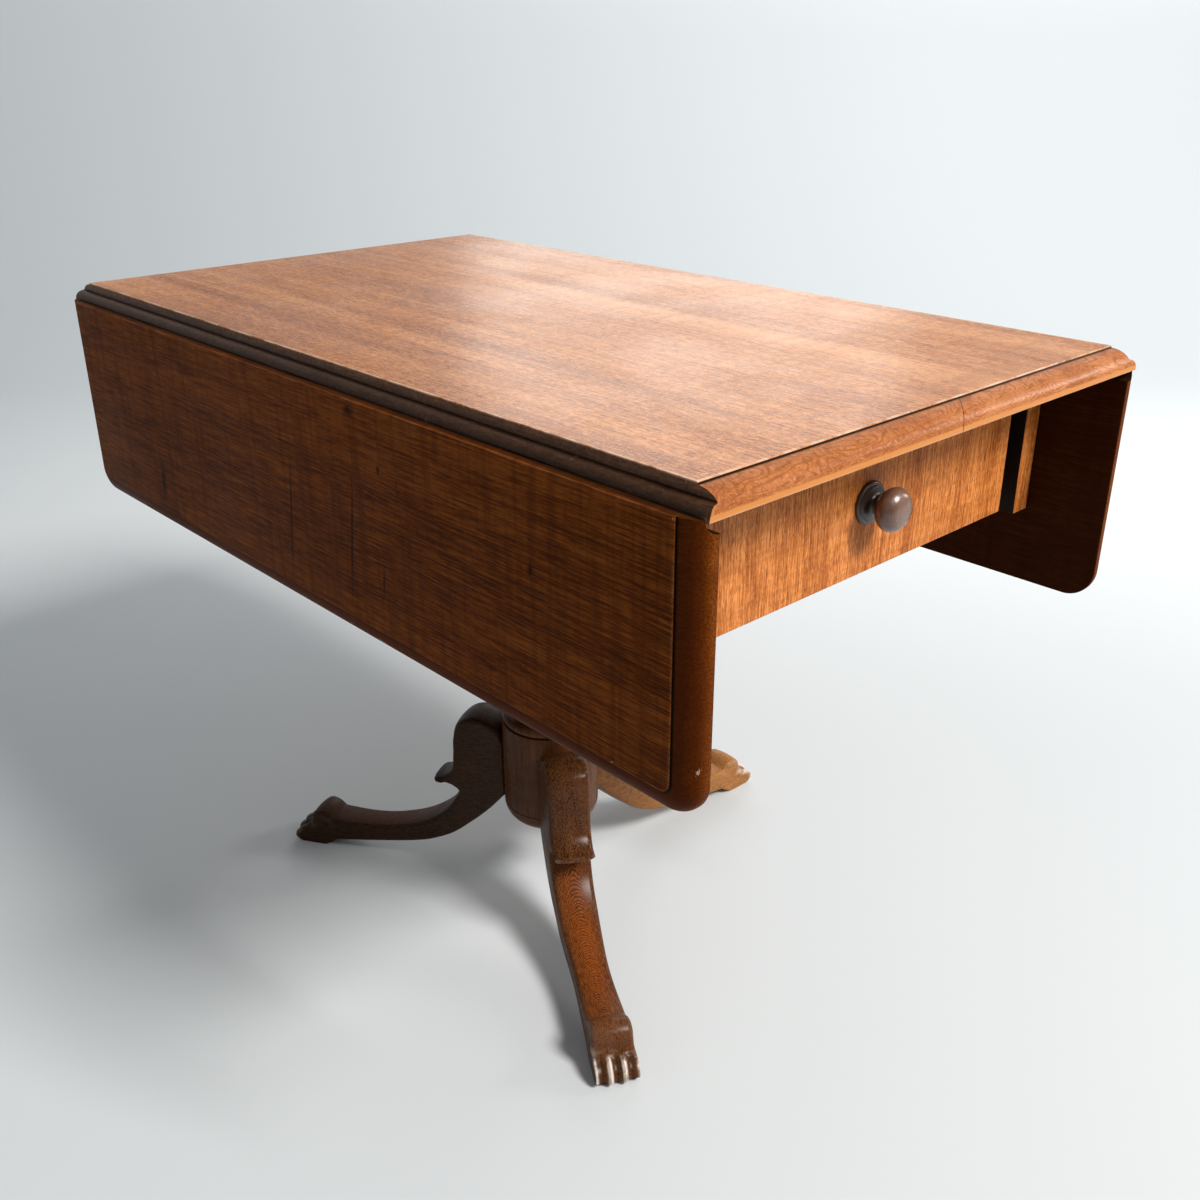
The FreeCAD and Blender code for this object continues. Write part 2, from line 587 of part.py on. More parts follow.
def tails(gap, past):
    """Lapped dovetail tails at the front of the right drawer side, or their sockets run past its face."""
    pitch = (SIDE_TOP - SIDE_BOTTOM) / DRAWER_TAILS
    half = pitch * DRAWER_TAIL_SHARE / 2 + gap
    wide = half + DRAWER_TAIL_SPLAY / 2
    narrow = half - DRAWER_TAIL_SPLAY / 2
    x = SIDE_INNER - gap
    front = DRAWER_INSIDE - DRAWER_TAIL_DEEP - gap
    shapes = []
    for index in range(DRAWER_TAILS):
        middle = SIDE_BOTTOM + pitch * (index + 1 / 2)
        plan = [V(x, DRAWER_INSIDE, middle - narrow), V(x, front, middle - wide),
                V(x, front, middle + wide), V(x, DRAWER_INSIDE, middle + narrow)]
        shapes.append(face(lines(plan + plan[:1])).extrude(V(SIDE_OUTER + past - x, 0, 0)))
    return shapes


def drawer_bottom():
    """Drawer bottom, let into grooves in the front and sides and nailed up under the back."""
    half = SIDE_INNER + DRAWER_GROOVE_DEEP
    return box(-half, half, DRAWER_INSIDE - DRAWER_GROOVE_DEEP, DRAWER_REAR, BOTTOM_LOW, BOTTOM_HIGH)


def bottom_groove():
    """Groove that the drawer bottom slides in."""
    deep = DRAWER_GROOVE_DEEP + DRAWER_FIT
    half = SIDE_INNER + deep
    return box(-half, half, DRAWER_INSIDE - deep, DRAWER_REAR + OVERRUN,
               BOTTOM_LOW - DRAWER_FIT, BOTTOM_HIGH + DRAWER_FIT)


def drawer_side():
    """Right drawer side, with its tails, the groove for the bottom and the housing for the back."""
    board = box(SIDE_INNER, SIDE_OUTER, DRAWER_INSIDE, DRAWER_REAR, SIDE_BOTTOM, SIDE_TOP)
    return board.fuse(tails(0.0, 0.0)).removeSplitter().cut([bottom_groove(), drawer_back()])


def drawer_front():
    """Drawer front with sockets for the tails, the bottom's groove and the knob's hole."""
    board = box(-DRAWER_HALF, DRAWER_HALF, DRAWER_FACE, DRAWER_INSIDE, DRAWER_FRONT_BOTTOM, DRAWER_FRONT_TOP)
    sockets = tails(DRAWER_FIT, OVERRUN)
    hole = rod(KNOB_SPIGOT_RADIUS + KNOB_SPIGOT_GAP, V(0, DRAWER_FACE - OVERRUN, KNOB_Z), V(0, 1, 0),
               KNOB_SPIGOT_LENGTH + OVERRUN + KNOB_SPIGOT_GAP)
    return board.cut(sockets + [mirror_x(socket) for socket in sockets] + [bottom_groove(), hole])


def drawer_back():
    """Drawer back, above the bottom and housed in the sides."""
    half = SIDE_INNER + DRAWER_HOUSING
    rear = DRAWER_REAR - DRAWER_BACK_THICK
    return box(-half, half, rear - DRAWER_BACK_THICK, rear, BOTTOM_HIGH + DRAWER_FIT, SIDE_TOP)


def drawer_knob():
    """Turned knob: stepped flange, thin neck, domed head and the spigot glued into the drawer front."""
    def at(radius, out):
        return V(radius, DRAWER_FACE - out, KNOB_Z)

    flange = KNOB_FLANGE_RADIUS
    thick = KNOB_FLANGE_THICK
    neck = KNOB_NECK_RADIUS
    head_deep = KNOB_PROJECTION - KNOB_NECK_OUT
    rim = [at(flange * wide, thick * out) for wide, out in KNOB_RIM_SHARES]
    step = [at(flange * wide, thick * out) for wide, out in KNOB_STEP_SHARES]
    wide, out = KNOB_WAIST_SHARES
    waist = at(neck + (step[-1].x - neck) * wide, thick + (KNOB_NECK_OUT - thick) * out)
    throat = at(neck, KNOB_NECK_OUT)
    head = [at(KNOB_RADIUS * wide, KNOB_NECK_OUT + head_deep * out) for wide, out in KNOB_HEAD_SHARES]
    tip = at(0, KNOB_PROJECTION)
    spigot = at(0, -KNOB_SPIGOT_LENGTH)
    outline = lines([spigot, at(KNOB_SPIGOT_RADIUS, -KNOB_SPIGOT_LENGTH), at(KNOB_SPIGOT_RADIUS, 0),
                     at(flange, 0), rim[0]])
    outline += [spline(rim), spline([step[-1], waist, throat]), spline([throat] + head + [tip])]
    outline += lines(step) + lines([tip, spigot])
    return Part.makeSolid(face(outline).revolve(V(0, DRAWER_FACE, KNOB_Z), V(0, 1, 0), 360))


def pedestal_block():
    """Square block on the column, screwed up under the cross bearers."""
    half = BLOCK_WIDTH / 2
    block = box(-half, half, -half, half, BLOCK_BOTTOM, RAIL_BOTTOM)
    mortise = rod(COLUMN_TENON_RADIUS + COLUMN_TENON_GAP, V(0, 0, BLOCK_BOTTOM - OVERRUN), UP,
                  BLOCK_THICK + OVERRUN * 2)
    return block.cut([mortise] + [block_screw(x, y, SCREW_GAP) for x, y in block_screw_places()])


def block_screw_places():
    """Screws through the block into the cross bearers."""
    half = BLOCK_WIDTH / 2
    return [(share * half, side * CROSS_BEARER_Y) for share in BLOCK_SCREW_SHARES for side in (-1, 1)]


def block_screw(x, y, gap=0.0):
    """One screw driven up through the pedestal block."""
    return screw(V(x, y, BLOCK_BOTTOM), UP, BLOCK_SCREW_RADIUS + gap, BLOCK_SCREW_HEAD_RADIUS + gap,
                 BLOCK_SCREW_HEAD_DEEP, BLOCK_SCREW_LENGTH + gap)


def leg_tail(gap):
    """Dovetail that slides up into the drum, on the leg that points along +X."""
    top = LEG_HEIGHT * LEG_TAIL_TOP_SHARE
    deep = COLUMN_RADIUS - LEG_TAIL_DEEP - gap
    wide = LEG_TAIL_WIDTH / 2 + gap
    neck = LEG_TAIL_NECK / 2 + gap
    out = COLUMN_RADIUS + LEG_SEAT_GAP
    plan = [V(deep, -wide, DRUM_BOTTOM), V(out, -neck, DRUM_BOTTOM), V(out, neck, DRUM_BOTTOM),
            V(deep, wide, DRUM_BOTTOM)]
    return face(lines(plan + plan[:1])).extrude(UP * (top - DRUM_BOTTOM + gap))


def turn_leg(shape, index):
    """Turn a piece of the +X leg to its place round the column."""
    turned = shape.copy()
    turned.rotate(V(0, 0, 0), UP, 360 * index / len(LEG_NAMES))
    return turned


def column():
    """Turned column: a drum for the legs, a baluster shaft, a collar and the tenon in the block."""
    def at(radius, height):
        return V(radius, 0, height)

    radius = COLUMN_RADIUS
    bead = COLUMN_BEAD_RADIUS
    ring = COLUMN_RING_RADIUS
    cap_low = BLOCK_BOTTOM - COLUMN_CAP_THICK
    neck_low = cap_low - COLUMN_NECK
    shaft_low = DRUM_TOP + bead * 2
    shaft_high = neck_low - ring * 2
    tall = shaft_high - shaft_low
    shaft = [at(radius * wide, shaft_low + tall * high) for wide, high in COLUMN_SHAFT_SHARES]
    neck = [at(radius * wide, neck_low + COLUMN_NECK * high) for wide, high in COLUMN_NECK_SHARES]
    outline = lines([at(0, DRUM_BOTTOM), at(radius, DRUM_BOTTOM), at(radius, DRUM_TOP),
                     at(radius - bead, DRUM_TOP)])
    outline.append(arc(at(radius - bead, DRUM_TOP + bead), bead, -90, 0, 90))
    outline += lines([at(radius - bead, shaft_low), shaft[0]])
    outline.append(spline(shaft))
    outline.append(arc(at(shaft[-1].x, neck_low - ring), ring, -90, 0, 90))
    outline.append(spline(neck))
    outline += lines([neck[-1], at(COLUMN_CAP_RADIUS, cap_low), at(COLUMN_CAP_RADIUS, BLOCK_BOTTOM),
                      at(COLUMN_TENON_RADIUS, BLOCK_BOTTOM), at(COLUMN_TENON_RADIUS, RAIL_BOTTOM),
                      at(0, RAIL_BOTTOM), at(0, DRUM_BOTTOM)])
    turned = Part.makeSolid(face(outline).revolve(V(0, 0, 0), UP, 360))
    sockets = [turn_leg(leg_tail(LEG_TAIL_GAP), index) for index in range(len(LEG_NAMES))]
    hole = rod(CAP_SPIGOT_RADIUS + CAP_SPIGOT_GAP, V(0, 0, DRUM_BOTTOM - OVERRUN), UP,
               CAP_SPIGOT_LENGTH + OVERRUN + CAP_SPIGOT_GAP)
    return turned.cut(sockets + [hole])


def drum_cap():
    """Rounded cap glued under the drum over the leg sockets."""
    low = DRUM_BOTTOM - CAP_HEIGHT
    bend = CAP_HEIGHT * (1 - math.sqrt(1 / 2))
    flat = COLUMN_RADIUS - CAP_HEIGHT
    outline = lines([V(0, 0, DRUM_BOTTOM), V(0, 0, low), V(flat, 0, low)])
    outline.append(Part.Arc(V(flat, 0, low), V(COLUMN_RADIUS - bend, 0, low + bend),
                            V(COLUMN_RADIUS, 0, DRUM_BOTTOM)).toShape())
    outline += lines([V(COLUMN_RADIUS, 0, DRUM_BOTTOM), V(0, 0, DRUM_BOTTOM)])
    cap = Part.makeSolid(face(outline).revolve(V(0, 0, 0), UP, 360))
    start = low + bend
    return cap.fuse(rod(CAP_SPIGOT_RADIUS, V(0, 0, start), UP, DRUM_BOTTOM - start + CAP_SPIGOT_LENGTH))


def leg_points(shares):
    """Points of the leg's side outline from shares of its reach and height."""
    reach = LEG_REACH - COLUMN_RADIUS
    return [V(COLUMN_RADIUS + reach * out, 0, LEG_HEIGHT * high) for out, high in shares]


def leg_plan():
    """Plan of the leg, waisted between the knee and the toes."""
    reach = LEG_REACH - COLUMN_RADIUS
    edge = [V(COLUMN_RADIUS + reach * out, LEG_WIDTH * wide / 2, 0) for out, wide in LEG_PLAN_SHARES]
    back = [V(p.x, -p.y, 0) for p in edge]
    return face([spline(edge), spline(back)] + lines([edge[0], back[0]]) + lines([edge[-1], back[-1]]))


def leg():
    """The leg that points along +X: side outline, waisted plan, carved toes and its dovetail."""
    runs = [KNEE_SHARES, LIP_SHARES, NOTCH_SHARES, LEG_TOP_SHARES, ROLL_SHARES, TOE_SHARES, HEEL_SHARES,
            UNDERSIDE_SHARES]
    outline = [spline(leg_points(run)) for run in runs]
    outline += lines(leg_points(SOLE_SHARES))
    outline += lines(leg_points((UNDERSIDE_SHARES[-1], KNEE_SHARES[0])))
    side = face(outline).extrude(V(0, LEG_WIDTH * 2, 0))
    side.translate(V(0, -LEG_WIDTH, 0))
    shape = side.common(leg_plan().extrude(UP * (LEG_HEIGHT + OVERRUN)))
    seat = rod(COLUMN_RADIUS + LEG_SEAT_GAP, V(0, 0, -OVERRUN), UP, LEG_HEIGHT + OVERRUN * 2)
    return shape.cut([seat] + toe_grooves()).fuse(leg_tail(0.0)).removeSplitter()


def toe_grooves():
    """Grooves between the carved toes: slots over the toe with a core left standing under them."""
    start = leg_points(TOE_SHARES)[0]
    core = box(start.x - OVERRUN, LEG_REACH - TOE_GROOVE_DEEP, -LEG_WIDTH, LEG_WIDTH,
               -OVERRUN, start.z - TOE_GROOVE_DEEP * 2)
    pitch = LEG_WIDTH / (TOE_GROOVES + 1)
    half = TOE_GROOVE_WIDTH / 2
    slots = []
    for index in range(TOE_GROOVES):
        middle = pitch * (index + 1) - LEG_WIDTH / 2
        slot = box(start.x, LEG_REACH + OVERRUN, middle - half, middle + half, -OVERRUN, start.z + OVERRUN)
        slots.append(slot.cut(core))
    return slots


def back_rail():
    """Rail across the back, between the outer rails."""
    return box(-OUTER_RAIL_INNER, OUTER_RAIL_INNER, RAIL_REAR, FRAME_END, RAIL_BOTTOM, TOP_UNDERSIDE)


def paired_pieces():
    """Pieces on the right side that have a mirror image on the left."""
    rail_end = outer_rail_end()
    bracket = fly_bracket()
    pin = bracket_pin()
    return {
        "leaf": hang(leaf_raised()),
        "hinge_top_flaps": hinge_set("top_flap"),
        "hinge_leaf_flaps": hang(hinge_set("leaf_flap")),
        "hinge_pins": hinge_set("pin"),
        "hinge_top_screws": hinge_screws(TOP_SCREW_X),
        "hinge_leaf_screws": hang(hinge_screws(LEAF_SCREW_X)),
        "inner_rail": side_rail(),
        "outer_rail_front": rail_end,
        "outer_rail_middle": outer_rail_middle(),
        "outer_rail_rear": mirror_y(rail_end),
        "front_fly_bracket": bracket,
        "rear_fly_bracket": mirror_y(bracket),
        "bracket_pins": Part.makeCompound([pin, mirror_y(pin)]),
        "drawer_runner": runner(),
        "drawer_kicker": kicker(),
        "kicker_screws": Part.makeCompound(kicker_screws(0.0)),
        "drawer_side": drawer_side(),
    }


def single_pieces():
    """Pieces that the table has once."""
    return {
        "fixed_top": top_board(),
        "back_rail": back_rail(),
        "front_bearer": front_bearer(),
        "front_cross_bearer": bored_cross_bearer(-CROSS_BEARER_Y),
        "rear_cross_bearer": bored_cross_bearer(CROSS_BEARER_Y),
        "glue_blocks": glue_blocks(),
        "drawer_stops": drawer_stops(),
        "drawer_front": drawer_front(),
        "drawer_back": drawer_back(),
        "drawer_bottom": drawer_bottom(),
        "drawer_knob": drawer_knob(),
        "pedestal_block": pedestal_block(),
        "block_screws": Part.makeCompound([block_screw(x, y) for x, y in block_screw_places()]),
        "column": column(),
        "drum_cap": drum_cap(),
    }


def main():
    """Build every piece and write it."""
    os.makedirs("parts", exist_ok=True)
    for name, shape in paired_pieces().items():
        save("right_" + name, shape)
        save("left_" + name, mirror_x(shape))
    for name, shape in single_pieces().items():
        save(name, shape)
    shape = leg()
    for index, name in enumerate(LEG_NAMES):
        save(name, turn_leg(shape, index))


main()
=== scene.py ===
"""Pembroke table: polished wood, turned and carved pieces and iron fittings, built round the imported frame."""
import json
import math
from collections import namedtuple

import bmesh
import bpy
from mathutils import Matrix, Vector
from mathutils.geometry import delaunay_2d_cdt


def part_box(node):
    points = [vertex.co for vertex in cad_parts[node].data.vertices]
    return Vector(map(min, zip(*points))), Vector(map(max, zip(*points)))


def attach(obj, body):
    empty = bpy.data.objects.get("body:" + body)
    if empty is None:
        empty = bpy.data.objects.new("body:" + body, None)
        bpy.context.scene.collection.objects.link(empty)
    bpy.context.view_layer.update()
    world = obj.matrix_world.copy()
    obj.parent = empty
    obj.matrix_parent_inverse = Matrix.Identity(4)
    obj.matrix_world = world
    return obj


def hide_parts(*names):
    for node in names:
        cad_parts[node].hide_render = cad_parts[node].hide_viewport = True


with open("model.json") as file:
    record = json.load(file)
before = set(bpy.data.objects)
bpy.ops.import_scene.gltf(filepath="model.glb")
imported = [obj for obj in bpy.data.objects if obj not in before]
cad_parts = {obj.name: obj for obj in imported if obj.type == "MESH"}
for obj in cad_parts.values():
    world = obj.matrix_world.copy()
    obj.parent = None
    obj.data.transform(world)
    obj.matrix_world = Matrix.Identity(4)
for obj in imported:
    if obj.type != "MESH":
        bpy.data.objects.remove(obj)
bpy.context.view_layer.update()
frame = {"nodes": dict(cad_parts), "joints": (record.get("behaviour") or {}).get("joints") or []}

bl_info = {
    "name": "Pembroke table",
    "version": (1, 0, 0),
    "blender": (4, 5, 0),
    "location": "3D View > Sidebar > Pembroke",
    "description": "Dresses the table's frame with polished wood, carved legs and iron fittings",
    "category": "Object",
}

TOP_LOW, TOP_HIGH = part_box("fixed_top")
FRONT_LOW, FRONT_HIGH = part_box("drawer_front")
COLUMN_LOW, COLUMN_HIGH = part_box("column")
KNOB_LOW, KNOB_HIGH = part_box("drawer_knob")
CAP_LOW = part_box("drum_cap")[0]
LEG_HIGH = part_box("right_leg")[1]
LEAF_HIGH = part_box("right_leaf")[1]
POST_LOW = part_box("right_outer_rail_front")[0]
TABLE_TOP = TOP_HIGH.z
UNDERSIDE = TOP_LOW.z
TOP_END = TOP_HIGH.y
JOINT = next(joint for joint in frame["joints"] if joint["name"] == "right_leaf_hinge")
AXIS_X, _, AXIS_Z = JOINT["pos_m"]
MIL = 0.001
DRUM_RADIUS = 57 * MIL
# How far a tool runs past the board that it cuts, and how near two points are to be one
PAST = 10 * MIL
SAME = 1e-6

# Attributes that the pieces keep for their finishes
WEAR = "arris"
# The darkening marks the quirks and joints, and paints shade on the knob's flange and the rear left leg; the stain also
# carries painted shade on the leaves' mouldings and painted sunlight on a leg
DARKENING = "quirk"
STAIN_AND_PAINTED_LIGHT = "stain"
GRAIN = "grain"
ZONE = "zone"


def size(name, default, about):
    """A length that a user can change."""
    return bpy.props.FloatProperty(name=name, description=about, default=default, min=0.0, unit="LENGTH",
                                   precision=5)


def count(name, default, about):
    """A whole number that a user can change."""
    return bpy.props.IntProperty(name=name, description=about, default=default, min=3)


def shade(name, default, about):
    """A colour that a user can change."""
    return bpy.props.FloatVectorProperty(name=name, description=about, default=default, subtype="COLOR", size=3,
                                         min=0.0, max=1.0)


class PembrokeSizes(bpy.types.PropertyGroup):
    """Sizes of the finished edges, mouldings, carving and screws."""
    arris: size("Arris", 0.0009, "Rounding of the worn edges of the boards")
    mould_reach: size("Moulding reach", 0.021, "Width of the thumbnail moulding")
    mould_quirk: size("Quirk", 0.002, "Step between the flat and the moulding")
    mould_square: size("Square", 0.004, "Square edge left under the moulding")
    joint_fillet: size("Joint fillet", 0.0095, "Square face over the bead of the rule joint")
    joint_ledge: size("Joint ledge", 0.0008, "Ledge under the fillet of the rule joint")
    joint_bead: size("Joint bead", 0.0095, "Radius of the bead of the rule joint")
    joint_cove: size("Joint cove", 0.01035, "Radius of the cove in the leaf")
    leaf_width: size("Leaf width", 0.23, "Width of a leaf from its lip to its outer edge")
    leaf_gap: size("Leaf gap", 0.0004, "Gap between a raised leaf's lip and the top")
    leaf_corner: size("Leaf corner", 0.03, "Radius of a leaf's outer corners")
    hinge_length: size("Hinge length", 0.052, "Length of a hinge along the joint")
    hinge_top_flap: size("Top flap", 0.026, "Width of the hinge flap under the top")
    hinge_leaf_flap: size("Leaf flap", 0.048, "Width of the hinge flap on the leaf")
    hinge_plate: size("Hinge plate", 0.002, "Thickness of a hinge flap")
    hinge_room: size("Barrel room", 0.003, "Radius cut in the wood round a hinge barrel")
    leg_round: size("Leg edge", 0.0052, "Rounding of the upper edges of a leg")
    leg_crown: size("Leg crown", 0.0026, "Rise of the middle of a leg over its edges")
    lip_round: size("Lip rounding", 0.004, "How far the ends of a knee's lip are rounded back")
    leg_width: size("Leg width", 0.045, "Width of a leg at the knee")
    toe_flute: size("Toe flute", 0.0034, "Depth of the flutes in the toes")
    leg_step: size("Leg step", 0.0026, "Distance between points along a leg's outline")
    slot_width: size("Screw slot width", 0.0009, "Width of a screw's slot")
    slot_deep: size("Screw slot depth", 0.0008, "Depth of a screw's slot")
    turned_sides: count("Turned sides", 128, "Facets round a turned piece")


class PembrokeColours(bpy.types.PropertyGroup):
    """Colours of the polish, the bare wood, the iron and the floor."""
    top_deep: shade("Top, deep", (0.22, 0.062, 0.014), "Darkest grain of the top")
    top_mid: shade("Top, middle", (0.455, 0.168, 0.052), "Main colour of the top")
    top_pale: shade("Top, pale", (0.65, 0.292, 0.116), "Palest grain of the top")
    leaf_deep: shade("Leaf, deep", (0.062, 0.0125, 0.0008), "Darkest grain of the leaves")
    leaf_mid: shade("Leaf, middle", (0.140, 0.033, 0.0026), "Main colour of the leaves")
    leaf_pale: shade("Leaf, pale", (0.23, 0.060, 0.0075), "Palest grain of the leaves")
    front_deep: shade("Drawer, deep", (0.25, 0.058, 0.007), "Darkest grain of the drawer front")
    front_mid: shade("Drawer, middle", (0.52, 0.165, 0.036), "Main colour of the drawer front")
    front_pale: shade("Drawer, pale", (0.76, 0.285, 0.080), "Palest grain of the drawer front")
    leg_deep: shade("Leg, deep", (0.012, 0.0036, 0.0009), "Darkest colour of the legs")
    leg_mid: shade("Leg, middle", (0.115, 0.042, 0.014), "Main colour of the legs")
    leg_pale: shade("Leg, pale", (0.27, 0.070, 0.0125), "Rubbed colour of the legs")
    # Painted sunlight: the golden colour of a leg that stands in the light
    faded: shade("Faded", (0.52, 0.225, 0.068), "Polish of a leg faded by the light")
    knob_deep: shade("Knob, deep", (0.040, 0.018, 0.012), "Darkest colour of the knob")
    knob_mid: shade("Knob, middle", (0.15, 0.070, 0.043), "Main colour of the knob")
    knob_pale: shade("Knob, pale", (0.20, 0.115, 0.080), "Rubbed colour of the knob")
    top_mould: shade("Top moulding", (0.36, 0.105, 0.030), "Old polish on the moulding of the top")
    top_square: shade("Top square", (0.58, 0.225, 0.054), "Golden lower edge of the top")
    # Painted shade on the moulding of the leaves
    leaf_mould: shade("Leaf moulding", (0.055, 0.0095, 0.0009), "Old polish on the moulding of the leaves")
    # The stain colours are painted shade: they keep the inner rails dark so that the gap beside the drawer looks shaded
    stain_deep: shade("Stain, deep", (0.006, 0.0026, 0.0012), "Darkest stain inside the frame")
    stain_mid: shade("Stain, middle", (0.014, 0.0062, 0.0030), "Main stain inside the frame")
    stain_pale: shade("Stain, pale", (0.026, 0.012, 0.0060), "Palest stain inside the frame")
    # Painted shade on the inner face of a leaf; the dark marks in the near leaf's figure take this colour too
    back: shade("Leaf back", (0.020, 0.0050, 0.0014), "Dark stain on the inner face of a leaf")
    oak_deep: shade("Oak, deep", (0.16, 0.085, 0.038), "Darkest grain of the hidden wood")
    oak_mid: shade("Oak, middle", (0.30, 0.175, 0.082), "Main colour of the hidden wood")
    oak_pale: shade("Oak, pale", (0.42, 0.27, 0.14), "Palest grain of the hidden wood")
    # Worn edges, which on the lit top's arrises are also a painted highlight
    worn: shade("Worn edge", (0.78, 0.55, 0.39), "Wood rubbed pale along the edges")
    # Bare wood on the toes and worn edges of the legs, which also stands for a painted highlight
    bare: shade("Bare toe", (0.70, 0.60, 0.52), "Wood rubbed bare on the toes")
    # Grime, which is also the colour of painted shade in the gap beside the drawer, on the knob's flange and on the
    # rear left leg
    grime: shade("Grime", (0.012, 0.006, 0.003), "Old polish and dirt in the quirks")
    iron: shade("Iron", (0.12, 0.105, 0.095), "Wrought iron of the hinges and screws")
    rust: shade("Rust", (0.14, 0.058, 0.026), "Rust on the iron")
    floor: shade("Floor", (0.70, 0.735, 0.755), "Floor and backdrop")


def sizes():
    """The sizes in use."""
    return bpy.context.scene.pembroke_sizes


def hue(name, share=1.0):
    """A colour in use, made darker or brighter by a share."""
    return tuple(part * share for part in getattr(bpy.context.scene.pembroke_colours, name))


def hues(kind):
    """The deep, middle and pale colours of a wood."""
    return [hue(kind + end) for end in ("_deep", "_mid", "_pale")]


def clamp(value):
    """A value kept between 0 and 1."""
    return min(max(value, 0.0), 1.0)


class Tree:
    """Adds nodes to a node tree and joins them."""

    def __init__(self, tree):
        self.tree = tree

    def add(self, kind, inputs=(), **settings):
        """The outputs of a new node, with its settings and what its inputs take."""
        node = self.tree.nodes.new(kind)
        for name, value in settings.items():
            setattr(node, name, value)
        for key, value in dict(inputs).items():
            if isinstance(value, bpy.types.NodeSocket):
                self.tree.links.new(value, node.inputs[key])
            else:
                node.inputs[key].default_value = value
        return node.outputs

    def math(self, operation, first, second=0.0):
        """A calculation with one or two values."""
        return self.add("ShaderNodeMath", {0: first, 1: second}, operation=operation)[0]

    def plus(self, first, second):
        """Two values added."""
        return self.math("ADD", first, second)

    def minus(self, first, second):
        """One value less another."""
        return self.math("SUBTRACT", first, second)

    def times(self, first, second):
        """Two values multiplied."""
        return self.math("MULTIPLY", first, second)

    def vector(self, operation, first, second):
        """A calculation with two vectors, or a vector scaled by a value."""
        key = 3 if operation == "SCALE" else 1
        return self.add("ShaderNodeVectorMath", {0: first, key: second}, operation=operation)[0]

    def split(self, vector):
        """The three parts of a vector."""
        return self.add("ShaderNodeSeparateXYZ", {0: vector})

    def combine(self, x=0.0, y=0.0, z=0.0):
        """A vector from its parts."""
        return self.add("ShaderNodeCombineXYZ", {0: x, 1: y, 2: z})[0]

    def blend(self, factor, first, second):
        """A mix of two colours."""
        pair = [colour if isinstance(colour, bpy.types.NodeSocket) else (*colour, 1.0) for colour in (first, second)]
        return self.add("ShaderNodeMix", {0: factor, 6: pair[0], 7: pair[1]}, data_type="RGBA")[2]

    def span(self, value, low, high, start=0.0, end=1.0):
        """A value eased from one range to another."""
        return self.add("ShaderNodeMapRange", {0: value, 1: low, 2: high, 3: start, 4: end},
                        interpolation_type="SMOOTHSTEP")[0]

    def noise(self, vector, shares, detail=3.0, rough=0.55, distortion=0.0):
        """Noise stretched by shares, or by one share all ways."""
        shares = shares if isinstance(shares, tuple) else (shares,) * 3
        return self.add("ShaderNodeTexNoise", {
            "Vector": self.vector("MULTIPLY", vector, shares), "Scale": 1.0, "Detail": detail, "Roughness": rough,
            "Distortion": distortion})[0]

    def ramp(self, value, stops):
        """A colour from a value."""
        node = self.tree.nodes.new("ShaderNodeValToRGB")
        self.tree.links.new(value, node.inputs[0])
        bar = node.color_ramp.elements
        while len(bar) < len(stops):
            bar.new(0.5)
        for element, (place, colour) in zip(bar, stops):
            element.position = place
            element.color = (*colour, 1.0)
        return node.outputs[0]

    def attribute(self, name, output="Fac"):
        """A value or vector kept on the piece."""
        return self.add("ShaderNodeAttribute", attribute_name=name)[output]

    def group(self, tree, inputs):
        """The outputs of a shader group."""
        return self.add("ShaderNodeGroup", inputs, node_tree=tree)

    def bump(self, height, strength):
        """A normal from fine relief."""
        return self.add("ShaderNodeBump", {"Height": height, "Strength": strength, "Distance": 0.2 * MIL})[0]

    def surface(self, inputs):
        """End a material with its shader."""
        shader = self.add("ShaderNodeBsdfPrincipled", inputs)[0]
        self.add("ShaderNodeOutputMaterial", {"Surface": shader})


def once(store):
    """Make a node group or a material once, and find it by its name from then on."""
    def wrap(make):
        def find(name=make.__name__):
            return getattr(bpy.data, store).get(name) or make(name)
        return find
    return wrap


def shader_group(name, values, outputs):
    """A shader group that takes a vector and some values, with its tree and its inputs."""
    group = bpy.data.node_groups.new(name, "ShaderNodeTree")
    group.interface.new_socket(name="Vector", in_out="INPUT", socket_type="NodeSocketVector")
    for way, titles in (("INPUT", values), ("OUTPUT", outputs)):
        for title in titles:
            group.interface.new_socket(name=title, in_out=way, socket_type="NodeSocketFloat")
    tree = Tree(group)
    return group, tree, tree.add("NodeGroupInput")


@once("node_groups")
def wood_grain(name):
    """Grain that runs along Y: broad tone, fine streaks, short mottle, cross ripple, pores and flecks."""
    group, tree, start = shader_group(name, ("Fineness", "Waviness"),
                                      ("Tone", "Streak", "Mottle", "Ripple", "Pore", "Fleck"))
    place = tree.vector("SCALE", start["Vector"], start["Fineness"])
    low = tree.vector("MULTIPLY", place, (7.0, 2.2, 7.0))
    drift = tree.add("ShaderNodeTexNoise", {"Vector": low, "Scale": 1.0, "Detail": 2.0})["Color"]
    drift = tree.vector("SCALE", tree.vector("SUBTRACT", drift, (0.5, 0.5, 0.5)), start["Waviness"])
    place = tree.vector("ADD", place, drift)
    tree.add("NodeGroupOutput", {
        "Tone": tree.noise(place, (26.0, 1.3, 26.0)),
        "Streak": tree.noise(place, (620.0, 20.0, 620.0), 4.0, 0.68),
        "Mottle": tree.noise(place, (400.0, 120.0, 400.0), 3.0, 0.6, 0.8),
        "Ripple": tree.noise(place, (6.0, 105.0, 6.0), 3.0, 0.6, 0.3),
        "Pore": tree.span(tree.noise(place, (1500.0, 70.0, 1500.0), 2.0), 0.58, 0.72),
        "Fleck": tree.span(tree.noise(place, (230.0, 480.0, 230.0), 2.0, 0.5, 1.6), 0.58, 0.66),
    })
    return group


